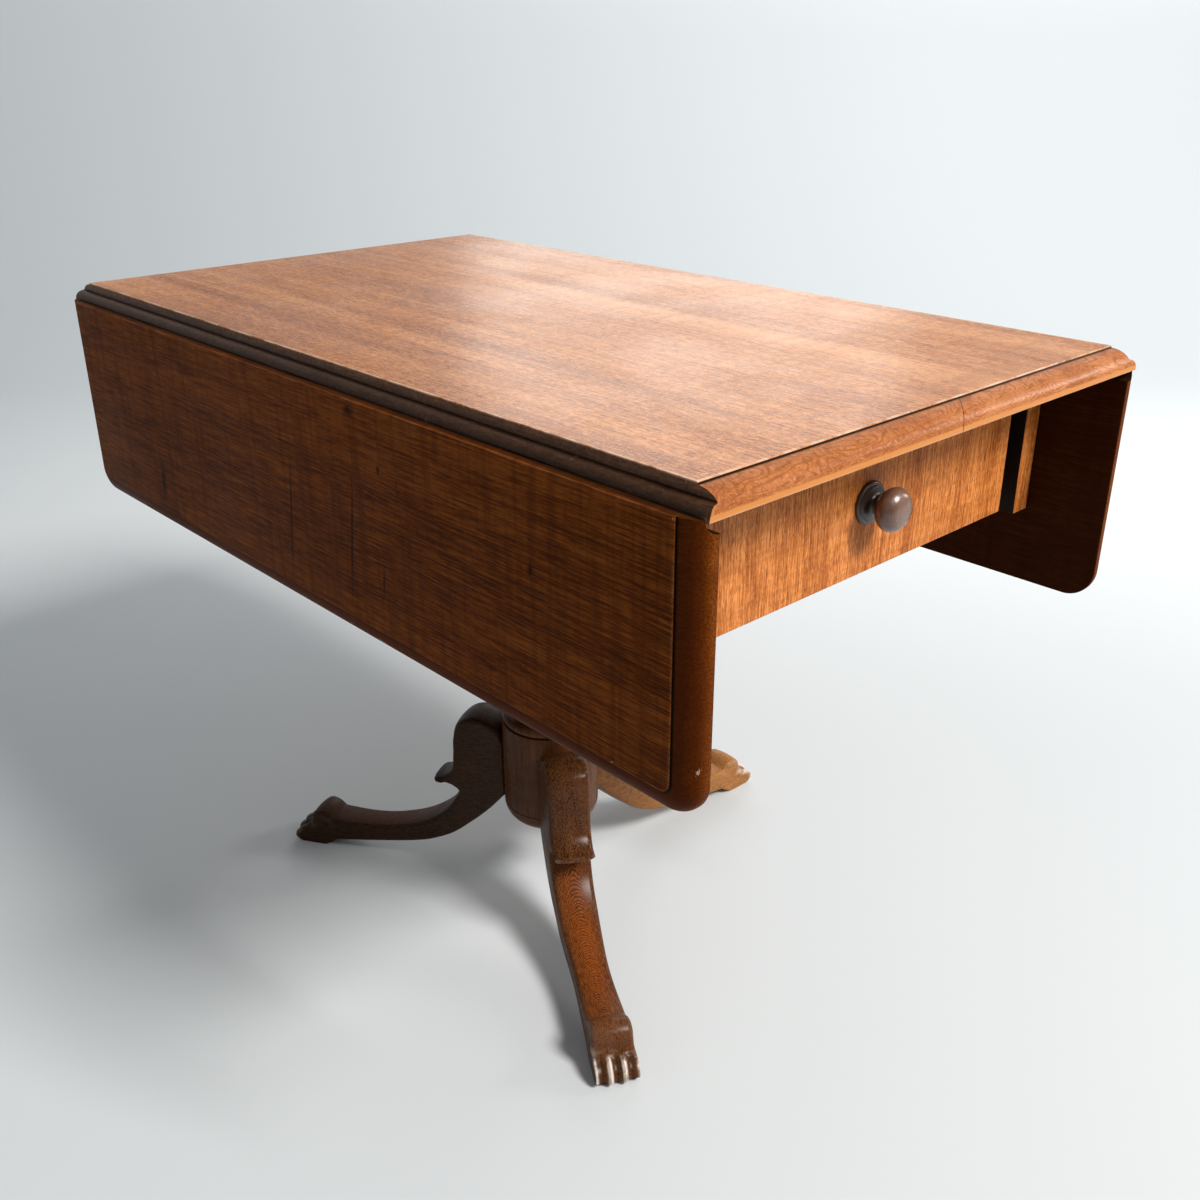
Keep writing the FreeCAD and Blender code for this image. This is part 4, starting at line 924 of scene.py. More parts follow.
class PEMBROKE_OT_leaves(bpy.types.Operator):
    """Make the two hanging leaves"""
    bl_idname = "pembroke.leaves"
    bl_label = "Leaves"

    def execute(self, context):
        # The leaves' mouldings take painted shade next to the quirk
        rows = mould_rows(0.9, 0.0, 9 * MIL)
        right = leaf_plate(rows)
        cut(right, prism("edge", leaf_edge(), "Y", -TOP_END - PAST, TOP_END + PAST), "INTERSECT")
        cut(right, leaf_recesses(), "DIFFERENCE")
        mark_faces(right, leaf_edge(), end_section(rows))
        axis = Matrix.Translation((AXIS_X, 0.0, AXIS_Z))
        right.data.transform(axis @ Matrix.Rotation(math.pi / 2, 4, "Y") @ axis.inverted())
        left = mirrored("left_leaf_board", right)
        for piece, side in ((right, "right"), (left, "left")):
            coat(piece.data, wood("leaf_polish"))
            smooth(piece)
            fit(piece, side + "_leaf_body", "mahogany", side + "_leaf")
        return {"FINISHED"}


def mirrored(name, piece):
    """The same mesh on the other side of the table."""
    bm = bmesh.new()
    bm.from_mesh(piece.data)
    bmesh.ops.transform(bm, matrix=Matrix.Scale(-1.0, 4, (1.0, 0.0, 0.0)), verts=bm.verts[:])
    bmesh.ops.reverse_faces(bm, faces=bm.faces[:])
    return show(name, to_mesh(name, bm, False))


def softened(node, name, material, soft, least):
    """Copy of a node with the long edges between its broad faces worn round."""
    bm = bmesh.new()
    bm.from_mesh(frame["nodes"][node].data)
    bmesh.ops.remove_doubles(bm, verts=bm.verts[:], dist=SAME)
    level, sharp = math.radians(0.2), math.radians(50)
    bmesh.ops.dissolve_limit(bm, angle_limit=level, verts=bm.verts[:], edges=bm.edges[:])
    chosen = []
    for edge in bm.edges:
        if len(edge.link_faces) == 2 and edge.is_convex and edge.calc_face_angle(0.0) > sharp:
            if edge.calc_length() > least and min(face.calc_area() for face in edge.link_faces) > least * 9 * MIL:
                chosen.append(edge)
    wear = layers(bm, WEAR)[0]
    made = bmesh.ops.bevel(bm, geom=chosen, offset=soft, offset_type="OFFSET", segments=2, profile=0.5,
                           affect="EDGES", clamp_overlap=True)
    new = set(made["faces"])
    for face in new:
        for vert in face.verts:
            if all(other in new for other in vert.link_faces):
                vert[wear] = 1.0
    for face in bm.faces:
        face.smooth = face in new
    return show(name, to_mesh(name, bm, False), material)


class PEMBROKE_OT_drawer(bpy.types.Operator):
    """Make the drawer front and line the drawer"""
    bl_idname = "pembroke.drawer"
    bl_label = "Drawer"

    def execute(self, context):
        front = softened("drawer_front", "drawer_front_board", wood("front_veneer"), sizes().arris, 12 * MIL)
        fit(front, "drawer_body", "mahogany", "drawer_front")
        for side in ("left", "right"):
            lining = softened(side + "_drawer_side", side + "_drawer_lining", wood("oak_along"), 0.7 * MIL, 40 * MIL)
            fit(lining, "drawer_body", "oak", side + "_drawer_side")
        paint(("drawer_bottom", "drawer_back"), wood("oak_across"))
        return {"FINISHED"}


class PEMBROKE_OT_frame(bpy.types.Operator):
    """Finish the rails, bearers, brackets and the drawer's runners"""
    bl_idname = "pembroke.frame"
    bl_label = "Frame"

    def execute(self, context):
        for side in ("left", "right"):
            post = softened(side + "_outer_rail_front", side + "_front_post", wood("front_veneer"), sizes().arris,
                            40 * MIL)
            fit(post, "table_frame", "mahogany", side + "_outer_rail_front")
            paint([side + end for end in (
                "_outer_rail_middle", "_outer_rail_rear", "_front_fly_bracket", "_rear_fly_bracket",
                "_drawer_runner", "_drawer_kicker")], wood("oak_along"))
            # The inner rails take a dark stain as painted shade in the gap beside the drawer
            paint([side + "_inner_rail"], wood("inner_stain"))
        paint(("back_rail", "front_bearer", "front_cross_bearer", "rear_cross_bearer", "glue_blocks",
               "drawer_stops", "pedestal_block"), wood("oak_across"))
        return {"FINISHED"}


def node_tree(name, inputs):
    """A tree of geometry nodes with named inputs, how nodes are added to it, and its inputs."""
    group = bpy.data.node_groups.new(name, "GeometryNodeTree")
    face = group.interface
    face.new_socket(name="Geometry", in_out="INPUT", socket_type="NodeSocketGeometry")
    for title, kind in inputs.items():
        face.new_socket(name=title, in_out="INPUT", socket_type="NodeSocket" + kind)
    face.new_socket(name="Geometry", in_out="OUTPUT", socket_type="NodeSocketGeometry")
    tree = Tree(group)
    return group, tree, tree.add("NodeGroupInput")


def end_tree(tree, shape, material):
    """End a tree of geometry nodes with real faces of one material."""
    shape = tree.add("GeometryNodeRealizeInstances", {"Geometry": shape})[0]
    shape = tree.add("GeometryNodeSetMaterial", {"Geometry": shape, "Material": material})[0]
    tree.add("NodeGroupOutput", {"Geometry": shape})


def run_nodes(name, points, tree, values):
    """Run a tree of geometry nodes on a row of points and keep the result as a plain mesh."""
    mesh = bpy.data.meshes.new(name)
    mesh.from_pydata([tuple(point) for point in points], [], [])
    piece = show(name, mesh)
    modifier = piece.modifiers.new("shape", "NODES")
    modifier.node_group = tree
    for item in tree.interface.items_tree:
        if item.item_type == "SOCKET" and item.in_out == "INPUT" and item.name in values:
            modifier[item.identifier] = values[item.name]
    bake(piece)
    return piece


@once("node_groups")
def lathe(name):
    """Tree that turns an outline of (radius, 0, height) points about the upright axis, then sets it in place."""
    group, tree, start = node_tree(name, {"Sides": "Int", "Turn": "Rotation", "Place": "Vector",
                                          "Material": "Material"})
    total = tree.add("GeometryNodeAttributeDomainSize", {"Geometry": start["Geometry"]})["Point Count"]
    grid = tree.add("GeometryNodeMeshGrid", {"Size X": 1.0, "Size Y": 1.0, "Vertices X": tree.plus(start["Sides"], 1.0),
                                             "Vertices Y": total})["Mesh"]
    here = tree.add("GeometryNodeInputPosition")[0]
    split = tree.split(here)
    row = tree.times(tree.plus(split[1], 0.5), tree.minus(total, 1.0))
    row = tree.add("FunctionNodeFloatToInt", {0: row}, rounding_mode="ROUND")[0]
    outline = tree.add("GeometryNodeSampleIndex", {"Geometry": start["Geometry"], "Value": here, "Index": row},
                       data_type="FLOAT_VECTOR", domain="POINT")[0]
    out = tree.split(outline)
    angle = tree.times(tree.plus(split[0], 0.5), math.tau)
    point = tree.combine(tree.times(out[0], tree.math("COSINE", angle)), tree.times(out[0], tree.math("SINE", angle)),
                         out[2])
    shape = tree.add("GeometryNodeSetPosition", {"Geometry": grid, "Position": point})[0]
    shape = tree.add("GeometryNodeMergeByDistance", {"Geometry": shape, "Distance": 2 * SAME})[0]
    shape = tree.add("GeometryNodeTransform", {"Geometry": shape, "Translation": start["Place"],
                                               "Rotation": start["Turn"]})[0]
    end_tree(tree, shape, start["Material"])
    return group


def turned(name, outline, material, turn=(0.0, 0.0, 0.0), place=(0.0, 0.0, 0.0)):
    """A turned piece from its outline."""
    points = [(point[0], 0.0, point[1]) for point in outline]
    piece = run_nodes(name, points, lathe(), {"Sides": sizes().turned_sides, "Turn": turn, "Place": place,
                                              "Material": material})
    bm = bmesh.new()
    bm.from_mesh(piece.data)
    piece.data = to_mesh(name, bm)
    coat(piece.data, material)
    smooth(piece)
    return piece


def column_outline():
    """Outline of the column: drum, bead, baluster shaft, ring, swept neck, collar and tenon."""
    low = COLUMN_LOW.z
    drum = low + 109 * MIL
    block = 515 * MIL
    cap = block - 14 * MIL
    neck_tall = 46 * MIL
    neck_low = cap - neck_tall
    bead, ring, soft = 6 * MIL, 4.5 * MIL, 0.8 * MIL
    collar, tenon = 56 * MIL, 26 * MIL
    shaft_low = drum + 2 * bead
    tall = neck_low - 2 * ring - shaft_low
    shaft = [(DRUM_RADIUS * wide, shaft_low + tall * high) for wide, high in
             ((0.7, 0.0), (0.92, 0.2), (0.8, 0.48), (0.54, 0.8), (0.5, 1.0))]
    neck = [(DRUM_RADIUS * wide, neck_low + neck_tall * high) for wide, high in ((0.5, 0.0), (0.58, 0.45), (0.86, 1.0))]
    points = [(0.0, low), (DRUM_RADIUS - soft, low), (DRUM_RADIUS, low + soft), (DRUM_RADIUS, drum - 2 * soft),
              (DRUM_RADIUS - soft, drum), (DRUM_RADIUS - bead, drum)]
    points += turn_points((DRUM_RADIUS - bead, drum + bead), bead, -90.0, 90.0, 14)
    points += [(DRUM_RADIUS - bead, shaft_low), (shaft[0][0] + soft, shaft_low)]
    points += through(shaft, 12)
    points += turn_points((shaft[-1][0], neck_low - ring), ring, -90.0, 90.0, 12)
    points += through(neck, 10)
    points += [(collar - MIL, cap), (collar, cap + soft), (collar, block - soft), (collar - MIL, block),
               (tenon, block), (tenon, COLUMN_HIGH.z), (0.0, COLUMN_HIGH.z)]
    return points


def cap_outline():
    """Outline of the rounded cap under the drum."""
    high = COLUMN_LOW.z
    tall = high - CAP_LOW.z
    flat = DRUM_RADIUS - tall
    points = [(0.0, CAP_LOW.z), (flat * 0.5, CAP_LOW.z)]
    return points + turn_points((flat, high), tall, -90.0, 0.0, 18) + [(0.0, high)]


def knob_outline():
    """Outline of the knob as (radius, distance out of the drawer front)."""
    flange, thick, neck, neck_out, head, out = (length * MIL for length in (19.0, 6.2, 7.6, 13.0, 19.4, 37.0))
    rim = [(flange * wide, thick * deep) for wide, deep in ((1.0, 0.4), (0.95, 0.62), (0.84, 0.7))]
    step = (flange * 0.78, thick)
    waist = (neck + (step[0] - neck) * 0.14, thick + (neck_out - thick) * 0.4)
    deep = out - neck_out
    dome = [(head * wide, neck_out + deep * far) for wide, far in ((0.74, 0.14), (1.0, 0.52), (0.72, 0.88))]
    points = [(0.0, 0.0), (flange - 0.6 * MIL, 0.0), (flange, 0.6 * MIL)]
    points += through(rim, 6)
    points += [(flange * 0.835, thick * 0.72), (step[0] + 0.4 * MIL, thick - 0.2 * MIL)]
    points += through([step, waist, (neck, neck_out)], 10)
    points += through([(neck, neck_out)] + dome + [(6.5 * MIL, out - 0.45 * MIL), (0.0, out)], 9)[1:]
    return points


class PEMBROKE_OT_turning(bpy.types.Operator):
    """Turn the column, its cap and the drawer's knob"""
    bl_idname = "pembroke.turning"
    bl_label = "Column and knob"

    def execute(self, context):
        column = turned("turned_column", column_outline(), wood("turned_polish"))
        fit(column, "table_frame", "dark_mahogany", "column")
        cap = turned("turned_cap", cap_outline(), wood("turned_polish"))
        fit(cap, "table_frame", "dark_mahogany", "drum_cap")
        middle = (KNOB_LOW + KNOB_HIGH) / 2
        knob = turned("turned_knob", knob_outline(), wood("knob_polish"), (math.pi / 2, 0.0, 0.0),
                      (middle.x, FRONT_LOW.y, middle.z))
        # Painted shade darkens the flange by the drawer front, under the knob's head
        darkening = knob.data.attributes.new(DARKENING, "FLOAT", "POINT")
        for vert, value in zip(knob.data.vertices, darkening.data):
            value.value = 0.9 if FRONT_LOW.y - vert.co.y < 14 * MIL else 0.0
        fit(knob, "drawer_body", "dark_mahogany", "drawer_knob")
        return {"FINISHED"}


# Side outline of a leg as shares of its reach from the drum and of its height, with how far each run is rounded,
# how worn it is and how rubbed its colour is
LEG_RUNS = (
    ("knee", 0.9, 0.0, 0.0, ((-0.023, 0.873), (0.0, 0.943), (0.069, 0.996), (0.136, 0.996), (0.187, 0.952),
                              (0.21, 0.852), (0.215, 0.748), (0.227, 0.652), (0.263, 0.607), (0.307, 0.582))),
    ("lip", 0.25, 0.3, 0.5, ((0.307, 0.582), (0.311, 0.572), (0.303, 0.561))),
    ("notch", 0.2, 0.0, 0.0, ((0.303, 0.561), (0.237, 0.567), (0.204, 0.552), (0.193, 0.526))),
    ("sweep", 1.0, 0.0, 1.0, ((0.193, 0.526), (0.254, 0.404), (0.363, 0.291), (0.5, 0.222), (0.663, 0.185),
                              (0.797, 0.181))),
    ("roll", 0.9, 0.12, 0.25, ((0.797, 0.181), (0.826, 0.211), (0.867, 0.222), (0.9, 0.196), (0.916, 0.126))),
    ("rim", 0.5, 1.0, 0.0, ((0.916, 0.126), (0.922, 0.123), (0.928, 0.1205))),
    ("toe", 0.5, 0.0, 0.0, ((0.928, 0.1205), (0.96, 0.107), (0.994, 0.065), (0.998, 0.022), (0.97, 0.0))),
    ("sole", 0.1, 0.0, 0.0, ((0.97, 0.0), (0.843, 0.0))),
    ("heel", 0.3, 0.0, 0.0, ((0.843, 0.0), (0.82, 0.015), (0.793, 0.041))),
    ("under", 0.45, 0.0, 0.0, ((0.793, 0.041), (0.576, 0.087), (0.456, 0.122), (0.32, 0.178), (0.227, 0.243),
                               (0.143, 0.335), (0.06, 0.439), (-0.023, 0.565))),
)
LEG_REACH = LEG_HIGH.x - DRUM_RADIUS
LEG_TALL = 229 * MIL
LEG_TOES = 3
# Share of the reach, and of the width at the knee that a leg has there
LEG_WIDTHS = ((-0.1, 1.13), (0.1, 1.12), (0.31, 1.03), (0.57, 0.9), (0.81, 0.98), (1.03, 1.03))
# The lip of the knee as shares of the reach, and how high it goes
LIP_RUN = (0.215, 0.311)
LIP_TOP = 0.75
# Each leg: its name, how much golden painted sunlight it takes, and how much painted shade darkens it
LEGS = (("right", 0.8, 0.0), ("rear_left", 0.0, 0.7), ("front_left", 0.0, 0.0))
LegPoint = namedtuple("LegPoint", "place out ease worn red toe lip")


def spaced(line, step):
    """A line taken at even steps, with both its ends."""
    lengths = [0.0]
    for a, b in zip(line, line[1:]):
        lengths.append(lengths[-1] + (b - a).length)
    steps = max(2, round(lengths[-1] / step))
    points = []
    index = 0
    for number in range(steps + 1):
        want = lengths[-1] * number / steps
        while index < len(lengths) - 2 and lengths[index + 1] < want:
            index += 1
        share = (want - lengths[index]) / max(lengths[index + 1] - lengths[index], 1e-9)
        points.append(line[index].lerp(line[index + 1], clamp(share)))
    return points


def eased(values, reach):
    """Values round a closed line, each averaged with its neighbours."""
    total = len(values)
    return [sum(values[(index + step) % total] for step in range(-reach, reach + 1)) / (2 * reach + 1)
            for index in range(total)]


def leg_share(out):
    """Distance from the axis as a share of a leg's reach."""
    return (out - DRUM_RADIUS) / LEG_REACH


def leg_outline():
    """Points round the side of a leg: outward directions, and shares of rounding, wear, red, toe and lip."""
    rows = []
    for name, rounded, wear, rubbed, shares in LEG_RUNS:
        run = [Vector((DRUM_RADIUS + LEG_REACH * out, LEG_TALL * up)) for out, up in shares]
        for index, point in enumerate(spaced(through(run, 24), sizes().leg_step)[:-1]):
            toe = min(1.0, index / 2) if name == "toe" else 0.0
            fin = name in ("knee", "lip", "notch") and point.y < LEG_TALL * LIP_TOP
            lip = clamp((leg_share(point.x) - LIP_RUN[0]) / (LIP_RUN[1] - LIP_RUN[0])) if fin else 0.0
            rows.append((point, rounded, wear, rubbed, toe, lip))
    rows.append((run[-1], 0.0, 0.0, 0.0, 0.0, 0.0))
    points, ease, worn, red, toe, lip = zip(*rows)
    outs = []
    for index in range(len(points)):
        along = points[(index + 1) % len(points)] - points[index - 1]
        outs.append(Vector((-along.y, along.x)).normalized())
    return [LegPoint(*row) for row in zip(points, outs, eased(ease, 2), eased(worn, 1), eased(red, 14), toe, lip)]


def leg_half_width(out):
    """Half the width of a leg at a distance from the axis."""
    share = leg_share(out)
    for (low, first), (high, second) in zip(LEG_WIDTHS, LEG_WIDTHS[1:]):
        if share <= high or high == LEG_WIDTHS[-1][0]:
            t = clamp((share - low) / (high - low))
            return sizes().leg_width / 2 * (first + (second - first) * t * t * (3 - 2 * t))


def leg_fading(out):
    """Share of the golden painted sunlight at a distance from the axis, from the knee to the sweep."""
    return 0.25 + 0.75 * clamp((leg_share(out) - 0.12) / 0.4)


def leg_layers(edge):
    """Places across a leg, from -1 to 1, closer together in the rounded edges."""
    inner = 1.0 - edge
    shares = [inner + edge * math.sin(math.radians(15.0 * step)) for step in range(1, 7)]
    steps = 24
    middle = [inner * (number / steps - 1.0) for number in range(2 * steps + 1)]
    return [-share for share in reversed(shares)] + middle + shares


def leg_mesh(name, turn, faded, painted_shade):
    """A carved leg, made along +X and turned to its place round the column, made golden by painted sunlight and
    darkened by painted shade.
    """
    s = sizes()
    line = leg_outline()
    edge = s.leg_round / (s.leg_width / 2)
    across = leg_layers(edge)
    bm = bmesh.new()
    wear, darkening, zone, stain = layers(bm, WEAR, DARKENING, ZONE, STAIN_AND_PAINTED_LIGHT)
    grain = bm.verts.layers.float_vector.new(GRAIN)

    def point_at(place, share, out):
        vert = bm.verts.new((place.x, share * leg_half_width(out), place.y))
        vert[grain] = vert.co
        # A leg's stain attribute holds its painted sunlight
        vert[stain] = faded * leg_fading(out)
        # Painted shade darkens the whole of a leg that stands in shade
        vert[darkening] = painted_shade
        return vert

    rings, flats = [], []
    for share in across:
        past = max(0.0, (abs(share) - (1.0 - edge)) / edge)
        lowered = s.leg_round * (1.0 - math.sqrt(max(0.0, 1.0 - past * past))) + s.leg_crown * share * share
        phase = ((share + 1.0) / 2 * LEG_TOES) % 1.0
        ridge = abs(2 * phase - 1.0) if abs(share) < 1.0 else 1.0
        ring, flat = [], []
        for point in line:
            inset = lowered * point.ease + s.toe_flute * (1.0 - ridge * ridge) * point.toe
            place = point.place - point.out * inset
            place.x -= s.lip_round * abs(share) ** 4 * point.lip
            vert = point_at(place, share, point.place.x)
            # The toes' ridges are rubbed to the bare colour: worn wood and painted highlight
            rub = 1.6 * clamp((ridge - 0.6) / 0.2) * point.toe
            vert[wear] = max(point.worn * (0.2 + 0.8 * past), rub)
            vert[darkening] = max(painted_shade, 0.7 * max(0.0, 1.0 - ridge / 0.6) * point.toe)
            # The red is kept off the sides and edges of a leg, which stay dark as painted shade
            vert[zone] = point.red * (1.0 - abs(share) ** 2.2)
            ring.append(vert)
            flat.append(place)
        rings.append(ring)
        flats.append(flat)
    skin(bm, rings, True)
    for end, share in ((0, -1.0), (-1, 1.0)):
        side_face(bm, rings[end], flats[end], lambda place: point_at(place, share, place.x))
    bmesh.ops.transform(bm, matrix=Matrix.Rotation(turn, 4, "Z"), verts=bm.verts[:])
    piece = show(name, to_mesh(name, bm), leg_polish())
    smooth(piece, 40.0)
    return piece


def side_face(bm, ring, flat, new_point):
    """Close one side of a leg with small faces that follow its plan."""
    step, clear = 7 * MIL, 3 * MIL
    low = Vector([min(part) for part in zip(*flat)])
    high = Vector([max(part) for part in zip(*flat)])
    inner = []
    for i in range(1, int((high.x - low.x) / step) + 1):
        for j in range(1, int((high.y - low.y) / step) + 1):
            point = Vector((low.x + i * step, low.y + j * step))
            if inside(point, flat) and min((point - other).length for other in flat) > clear:
                inner.append(point)
    made = delaunay_2d_cdt(flat + inner, [], [list(range(len(flat)))], 1, 1e-9)
    verts = [ring[origins[0]] if origins and origins[0] < len(ring) else new_point(place)
             for place, origins in zip(made[0], made[3])]
    for triangle in made[2]:
        corners = [verts[index] for index in triangle]
        if len(set(corners)) == 3:
            bm.faces.new(corners)


def inside(point, outline):
    """Whether a point is inside a closed outline."""
    found = False
    for a, b in zip(outline, outline[1:] + outline[:1]):
        if (a.y > point.y) != (b.y > point.y):
            if point.x < (b.x - a.x) * (point.y - a.y) / (b.y - a.y) + a.x:
                found = not found
    return found


class PEMBROKE_OT_legs(bpy.types.Operator):
    """Carve the three legs"""
    bl_idname = "pembroke.legs"
    bl_label = "Legs"

    def execute(self, context):
        for index, (name, faded, painted_shade) in enumerate(LEGS):
            piece = leg_mesh(name + "_carved_leg", math.tau * index / len(LEGS), faded, painted_shade)
            fit(piece, "table_frame", "dark_mahogany", name + "_leg")
        return {"FINISHED"}


@once("node_groups")
def screw_row(name):
    """Tree that sets a slotted countersunk screw on each point, each slot turned its own way."""
    group, tree, start = node_tree(name, {
        "Head Radius": "Float", "Head Depth": "Float", "Shank Radius": "Float", "Length": "Float",
        "Slot Width": "Float", "Slot Depth": "Float", "Aim": "Rotation", "Seed": "Int", "Material": "Material"})
    head = tree.add("GeometryNodeMeshCone", {"Vertices": 24, "Radius Top": start["Shank Radius"],
                                             "Radius Bottom": start["Head Radius"],
                                             "Depth": start["Head Depth"]})["Mesh"]
    slot = tree.add("GeometryNodeMeshCube", {"Size": tree.combine(
        tree.times(start["Head Radius"], 3.0), start["Slot Width"], tree.times(start["Slot Depth"], 2.0))})["Mesh"]
    head = tree.add("GeometryNodeMeshBoolean", {0: head, 1: slot}, operation="DIFFERENCE", solver="EXACT")[0]
    shank = tree.add("GeometryNodeMeshCone", {
        "Vertices": 16, "Radius Top": tree.times(start["Shank Radius"], 0.5), "Radius Bottom": start["Shank Radius"],
        "Depth": tree.minus(start["Length"], start["Head Depth"])})["Mesh"]
    shank = tree.add("GeometryNodeTransform", {"Geometry": shank,
                                               "Translation": tree.combine(z=start["Head Depth"])})[0]
    screw = group.nodes.new("GeometryNodeJoinGeometry")
    for part in (head, shank):
        group.links.new(part, screw.inputs[0])
    rows = tree.add("GeometryNodeInstanceOnPoints", {"Points": start["Geometry"], "Instance": screw.outputs[0],
                                                     "Rotation": start["Aim"]})[0]
    spin = tree.add("FunctionNodeRandomValue", {2: 0.0, 3: math.tau, "Seed": start["Seed"]}, data_type="FLOAT")[1]
    spin = tree.add("FunctionNodeEulerToRotation", {0: tree.combine(z=spin)})[0]
    rows = tree.add("GeometryNodeRotateInstances", {"Instances": rows, "Rotation": spin})[0]
    end_tree(tree, rows, start["Material"])
    return group


# How level the points of one face are, and how far apart two screws are at least
FACE_LEVEL = 0.05 * MIL
SCREW_APART = 12 * MIL


def screw_heads(node, axis, side):
    """Middle of each screw's head in a node: its points on the face that the screws enter."""
    verts = frame["nodes"][node].data.vertices
    level = (min if side > 0 else max)(vert.co[axis] for vert in verts)
    groups = []
    for point in [vert.co for vert in verts if abs(vert.co[axis] - level) < FACE_LEVEL]:
        for group in groups:
            if (group[0] - point).length < SCREW_APART:
                group.append(point)
                break
        else:
            groups.append([point])
    return [(Vector([min(part) for part in zip(*group)]) + Vector([max(part) for part in zip(*group)])) / 2
            for group in groups]


# Rows of screws: node, body, axis and side that they enter along, aim, and head radius and depth, shank radius and
# length in millimetres
UPWARD = (0.0, 0.0, 0.0)
HINGE_SCREW = (3.0, 1.5, 1.5, 13.0)
KICKER_SCREW = (3.0, 1.5, 1.5, 22.0)
BLOCK_SCREW = (5.0, 2.5, 2.5, 48.0)
SCREW_ROWS = (
    ("left_hinge_top_screws", "table_frame", 2, 1.0, UPWARD, HINGE_SCREW),
    ("right_hinge_top_screws", "table_frame", 2, 1.0, UPWARD, HINGE_SCREW),
    ("left_hinge_leaf_screws", "left_leaf_body", 0, -1.0, (0.0, -math.pi / 2, 0.0), HINGE_SCREW),
    ("right_hinge_leaf_screws", "right_leaf_body", 0, 1.0, (0.0, math.pi / 2, 0.0), HINGE_SCREW),
    ("left_kicker_screws", "table_frame", 2, 1.0, UPWARD, KICKER_SCREW),
    ("right_kicker_screws", "table_frame", 2, 1.0, UPWARD, KICKER_SCREW),
    ("block_screws", "table_frame", 2, 1.0, UPWARD, BLOCK_SCREW),
)


class PEMBROKE_OT_fittings(bpy.types.Operator):
    """Fit the iron hinges, pins and slotted screws"""
    bl_idname = "pembroke.fittings"
    bl_label = "Hinges and screws"

    def execute(self, context):
        for side in ("left", "right"):
            paint([side + end for end in ("_hinge_top_flaps", "_hinge_leaf_flaps", "_hinge_pins", "_bracket_pins")],
                  old_iron())
        for seed, (node, body, axis, side, aim, shape) in enumerate(SCREW_ROWS):
            head, deep, shank, long = (length * MIL for length in shape)
            piece = run_nodes(node + "_slotted", screw_heads(node, axis, side), screw_row(), {
                "Head Radius": head, "Head Depth": deep, "Shank Radius": shank, "Length": long,
                "Slot Width": sizes().slot_width, "Slot Depth": sizes().slot_deep, "Aim": aim, "Seed": seed,
                "Material": old_iron()})
            smooth(piece)
            fit(piece, body, "iron", node)
        return {"FINISHED"}


# Camera: place, turn, fall and roll, and the lens
CAMERA_PLACE = (-0.829839, -0.988671, 0.974769)
CAMERA_TURN = -0.745125
CAMERA_FALL = 0.428035
CAMERA_ROLL = -0.003593
CAMERA_LENS = 37.2604
SENSOR = 36.0
SIGHT = (math.sin(-CAMERA_TURN), math.cos(CAMERA_TURN))
SIGHT_RIGHT = (SIGHT[1], -SIGHT[0])

# Lamps: name, place, point that it faces, power, width, height and colour
DAYLIGHT = (1.0, 0.97, 0.93)
LAMPS = (
    ("key", (0.79, -3.71, 3.86), (0.0, 0.0, 0.45), 295.0, 1.3, 1.3, DAYLIGHT),
    ("side", (3.2, -1.7, 1.7), (0.0, -0.1, 0.35), 26.0, 0.7, 0.9, DAYLIGHT),
    ("sheen", (1.88, 1.58, 1.44), (-0.05, -0.2, 0.72), 11.5, 1.3, 0.9, (1.0, 0.87, 0.78)),
)
SKY = (0.90, 0.95, 1.0, 1.0)
SKY_STRENGTH = 0.25

# Floor and backdrop: how far they run before and behind the table, half their width, the sweep between them, and
# the height of the backdrop
GROUND_FRONT = -9.0
GROUND_SIDE = 11.0
SWEEP_START = 2.4
SWEEP_RADIUS = 1.3
BACKDROP_TOP = 7.0


def camera():
    """The camera at the photograph's angle."""
    data = bpy.data.cameras.new("camera")
    data.lens = CAMERA_LENS
    data.sensor_width = SENSOR
    data.clip_end = 100.0
    eye = bpy.data.objects.new("camera", data)
    back = Vector((math.sin(CAMERA_TURN) * math.cos(CAMERA_FALL), -math.cos(CAMERA_TURN) * math.cos(CAMERA_FALL),
                   math.sin(CAMERA_FALL)))
    right = (-back).cross(Vector((0.0, 0.0, 1.0))).normalized()
    up = right.cross(-back)
    turned_right = right * math.cos(CAMERA_ROLL) + up * math.sin(CAMERA_ROLL)
    turned_up = up * math.cos(CAMERA_ROLL) - right * math.sin(CAMERA_ROLL)
    eye.matrix_world = Matrix.Translation(CAMERA_PLACE) @ Matrix((turned_right, turned_up, back)).transposed().to_4x4()
    bpy.context.scene.collection.objects.link(eye)
    bpy.context.scene.camera = eye


def lamp(name, place, aim, power, wide, tall, colour):
    """A soft panel lamp that faces a point."""
    data = bpy.data.lights.new(name, "AREA")
    data.shape = "RECTANGLE"
    data.size = wide
    data.size_y = tall
    data.energy = power
    data.color = colour
    light = bpy.data.objects.new(name, data)
    light.location = place
    light.rotation_mode = "QUATERNION"
    light.rotation_quaternion = (Vector(aim) - Vector(place)).to_track_quat("-Z", "Y")
    light.visible_camera = False
    bpy.context.scene.collection.objects.link(light)


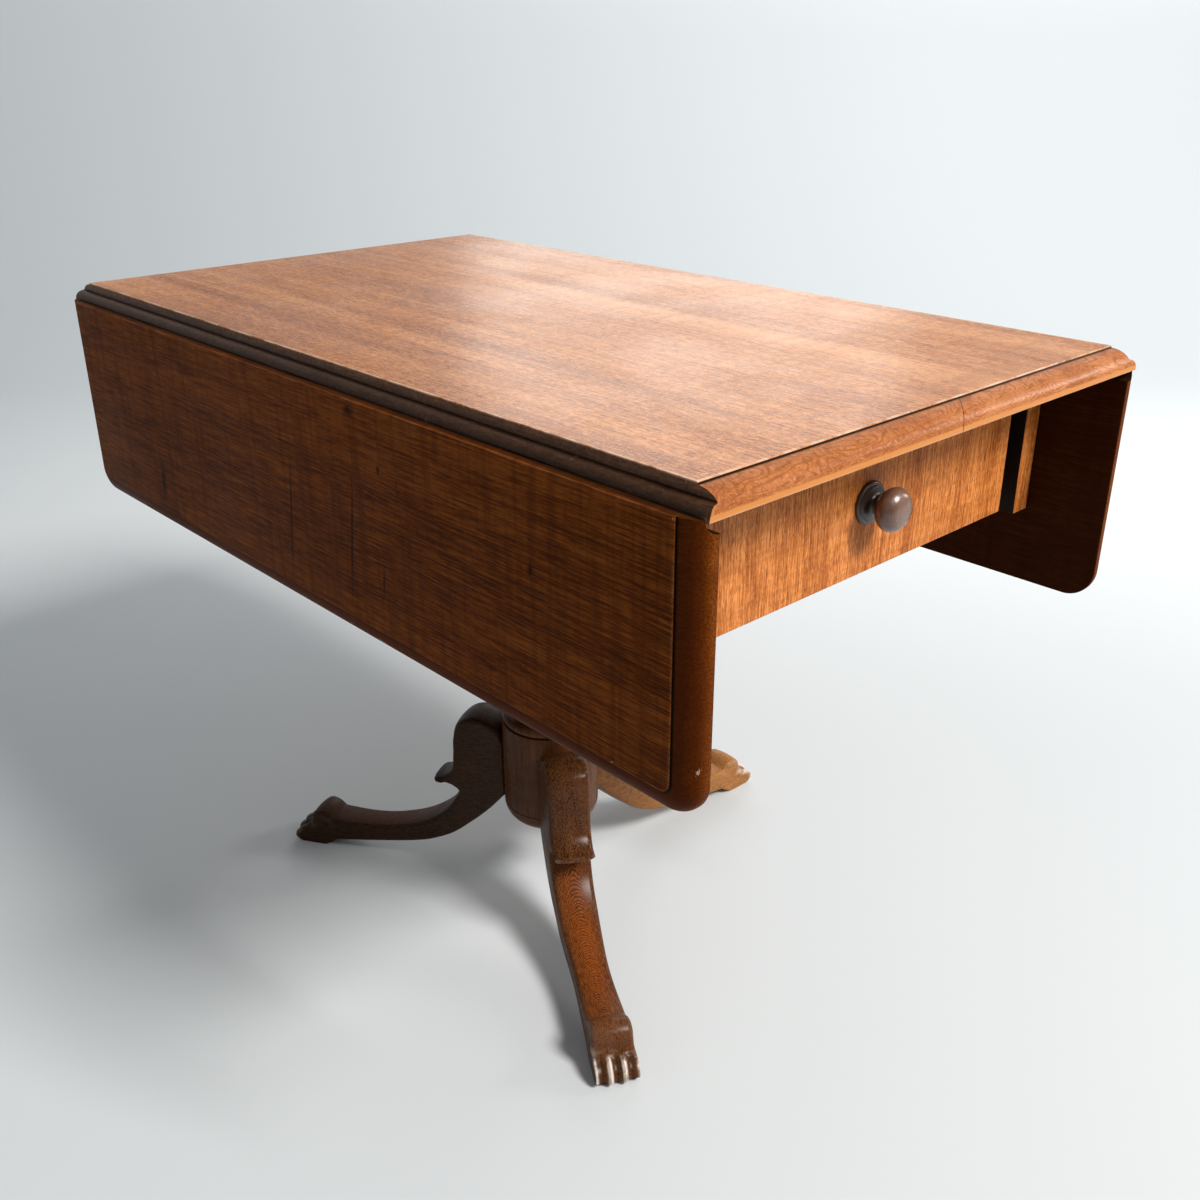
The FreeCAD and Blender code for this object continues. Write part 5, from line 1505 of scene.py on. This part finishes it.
def ground():
    """Floor that sweeps up behind the table into a backdrop."""
    run = [(GROUND_FRONT, 0.0)] + turn_points((SWEEP_START, SWEEP_RADIUS), SWEEP_RADIUS, -90.0, 0.0, 24)
    run.append((SWEEP_START + SWEEP_RADIUS, BACKDROP_TOP))
    bm = bmesh.new()
    rows = []
    for along, up in run:
        rows.append([bm.verts.new((SIGHT[0] * along + SIGHT_RIGHT[0] * across,
                                   SIGHT[1] * along + SIGHT_RIGHT[1] * across, up))
                     for across in (-GROUND_SIDE, GROUND_SIDE)])
    skin(bm, rows)
    sweep = show("pale_ground", to_mesh("pale_ground", bm, False), pale_floor())
    smooth(sweep)


class PEMBROKE_OT_stage(bpy.types.Operator):
    """Set the floor, the lamps, the sky and the camera"""
    bl_idname = "pembroke.stage"
    bl_label = "Stage"

    def execute(self, context):
        ground()
        for row in LAMPS:
            lamp(*row)
        world = bpy.data.worlds.new("studio")
        world.use_nodes = True
        world.node_tree.nodes.clear()
        tree = Tree(world.node_tree)
        sky = tree.add("ShaderNodeBackground", {"Color": SKY, "Strength": SKY_STRENGTH})[0]
        tree.add("ShaderNodeOutputWorld", {"Surface": sky})
        bpy.context.scene.world = world
        bpy.context.scene.view_settings.view_transform = "Standard"
        camera()
        return {"FINISHED"}


class PEMBROKE_PT_panel(bpy.types.Panel):
    """Lists the steps that make the table"""
    bl_idname = "PEMBROKE_PT_panel"
    bl_label = "Pembroke table"
    bl_space_type = "VIEW_3D"
    bl_region_type = "UI"
    bl_category = "Pembroke"

    def draw(self, context):
        for step in STEPS:
            self.layout.operator(step.bl_idname)


STEPS = (PEMBROKE_OT_top, PEMBROKE_OT_leaves, PEMBROKE_OT_drawer, PEMBROKE_OT_frame, PEMBROKE_OT_turning,
         PEMBROKE_OT_legs, PEMBROKE_OT_fittings, PEMBROKE_OT_stage)
CLASSES = (PembrokeSizes, PembrokeColours) + STEPS + (PEMBROKE_PT_panel,)


def register():
    """Add the classes, and keep the sizes and colours on the scene."""
    for kind in CLASSES:
        bpy.utils.register_class(kind)
    bpy.types.Scene.pembroke_sizes = bpy.props.PointerProperty(type=PembrokeSizes)
    bpy.types.Scene.pembroke_colours = bpy.props.PointerProperty(type=PembrokeColours)


def unregister():
    """Remove what register added."""
    del bpy.types.Scene.pembroke_colours
    del bpy.types.Scene.pembroke_sizes
    for kind in reversed(CLASSES):
        bpy.utils.unregister_class(kind)


def main():
    """Make the table piece by piece."""
    register()
    for step in STEPS:
        group, action = step.bl_idname.split(".")
        getattr(getattr(bpy.ops, group), action)()


if __name__ == "__main__":
    main()
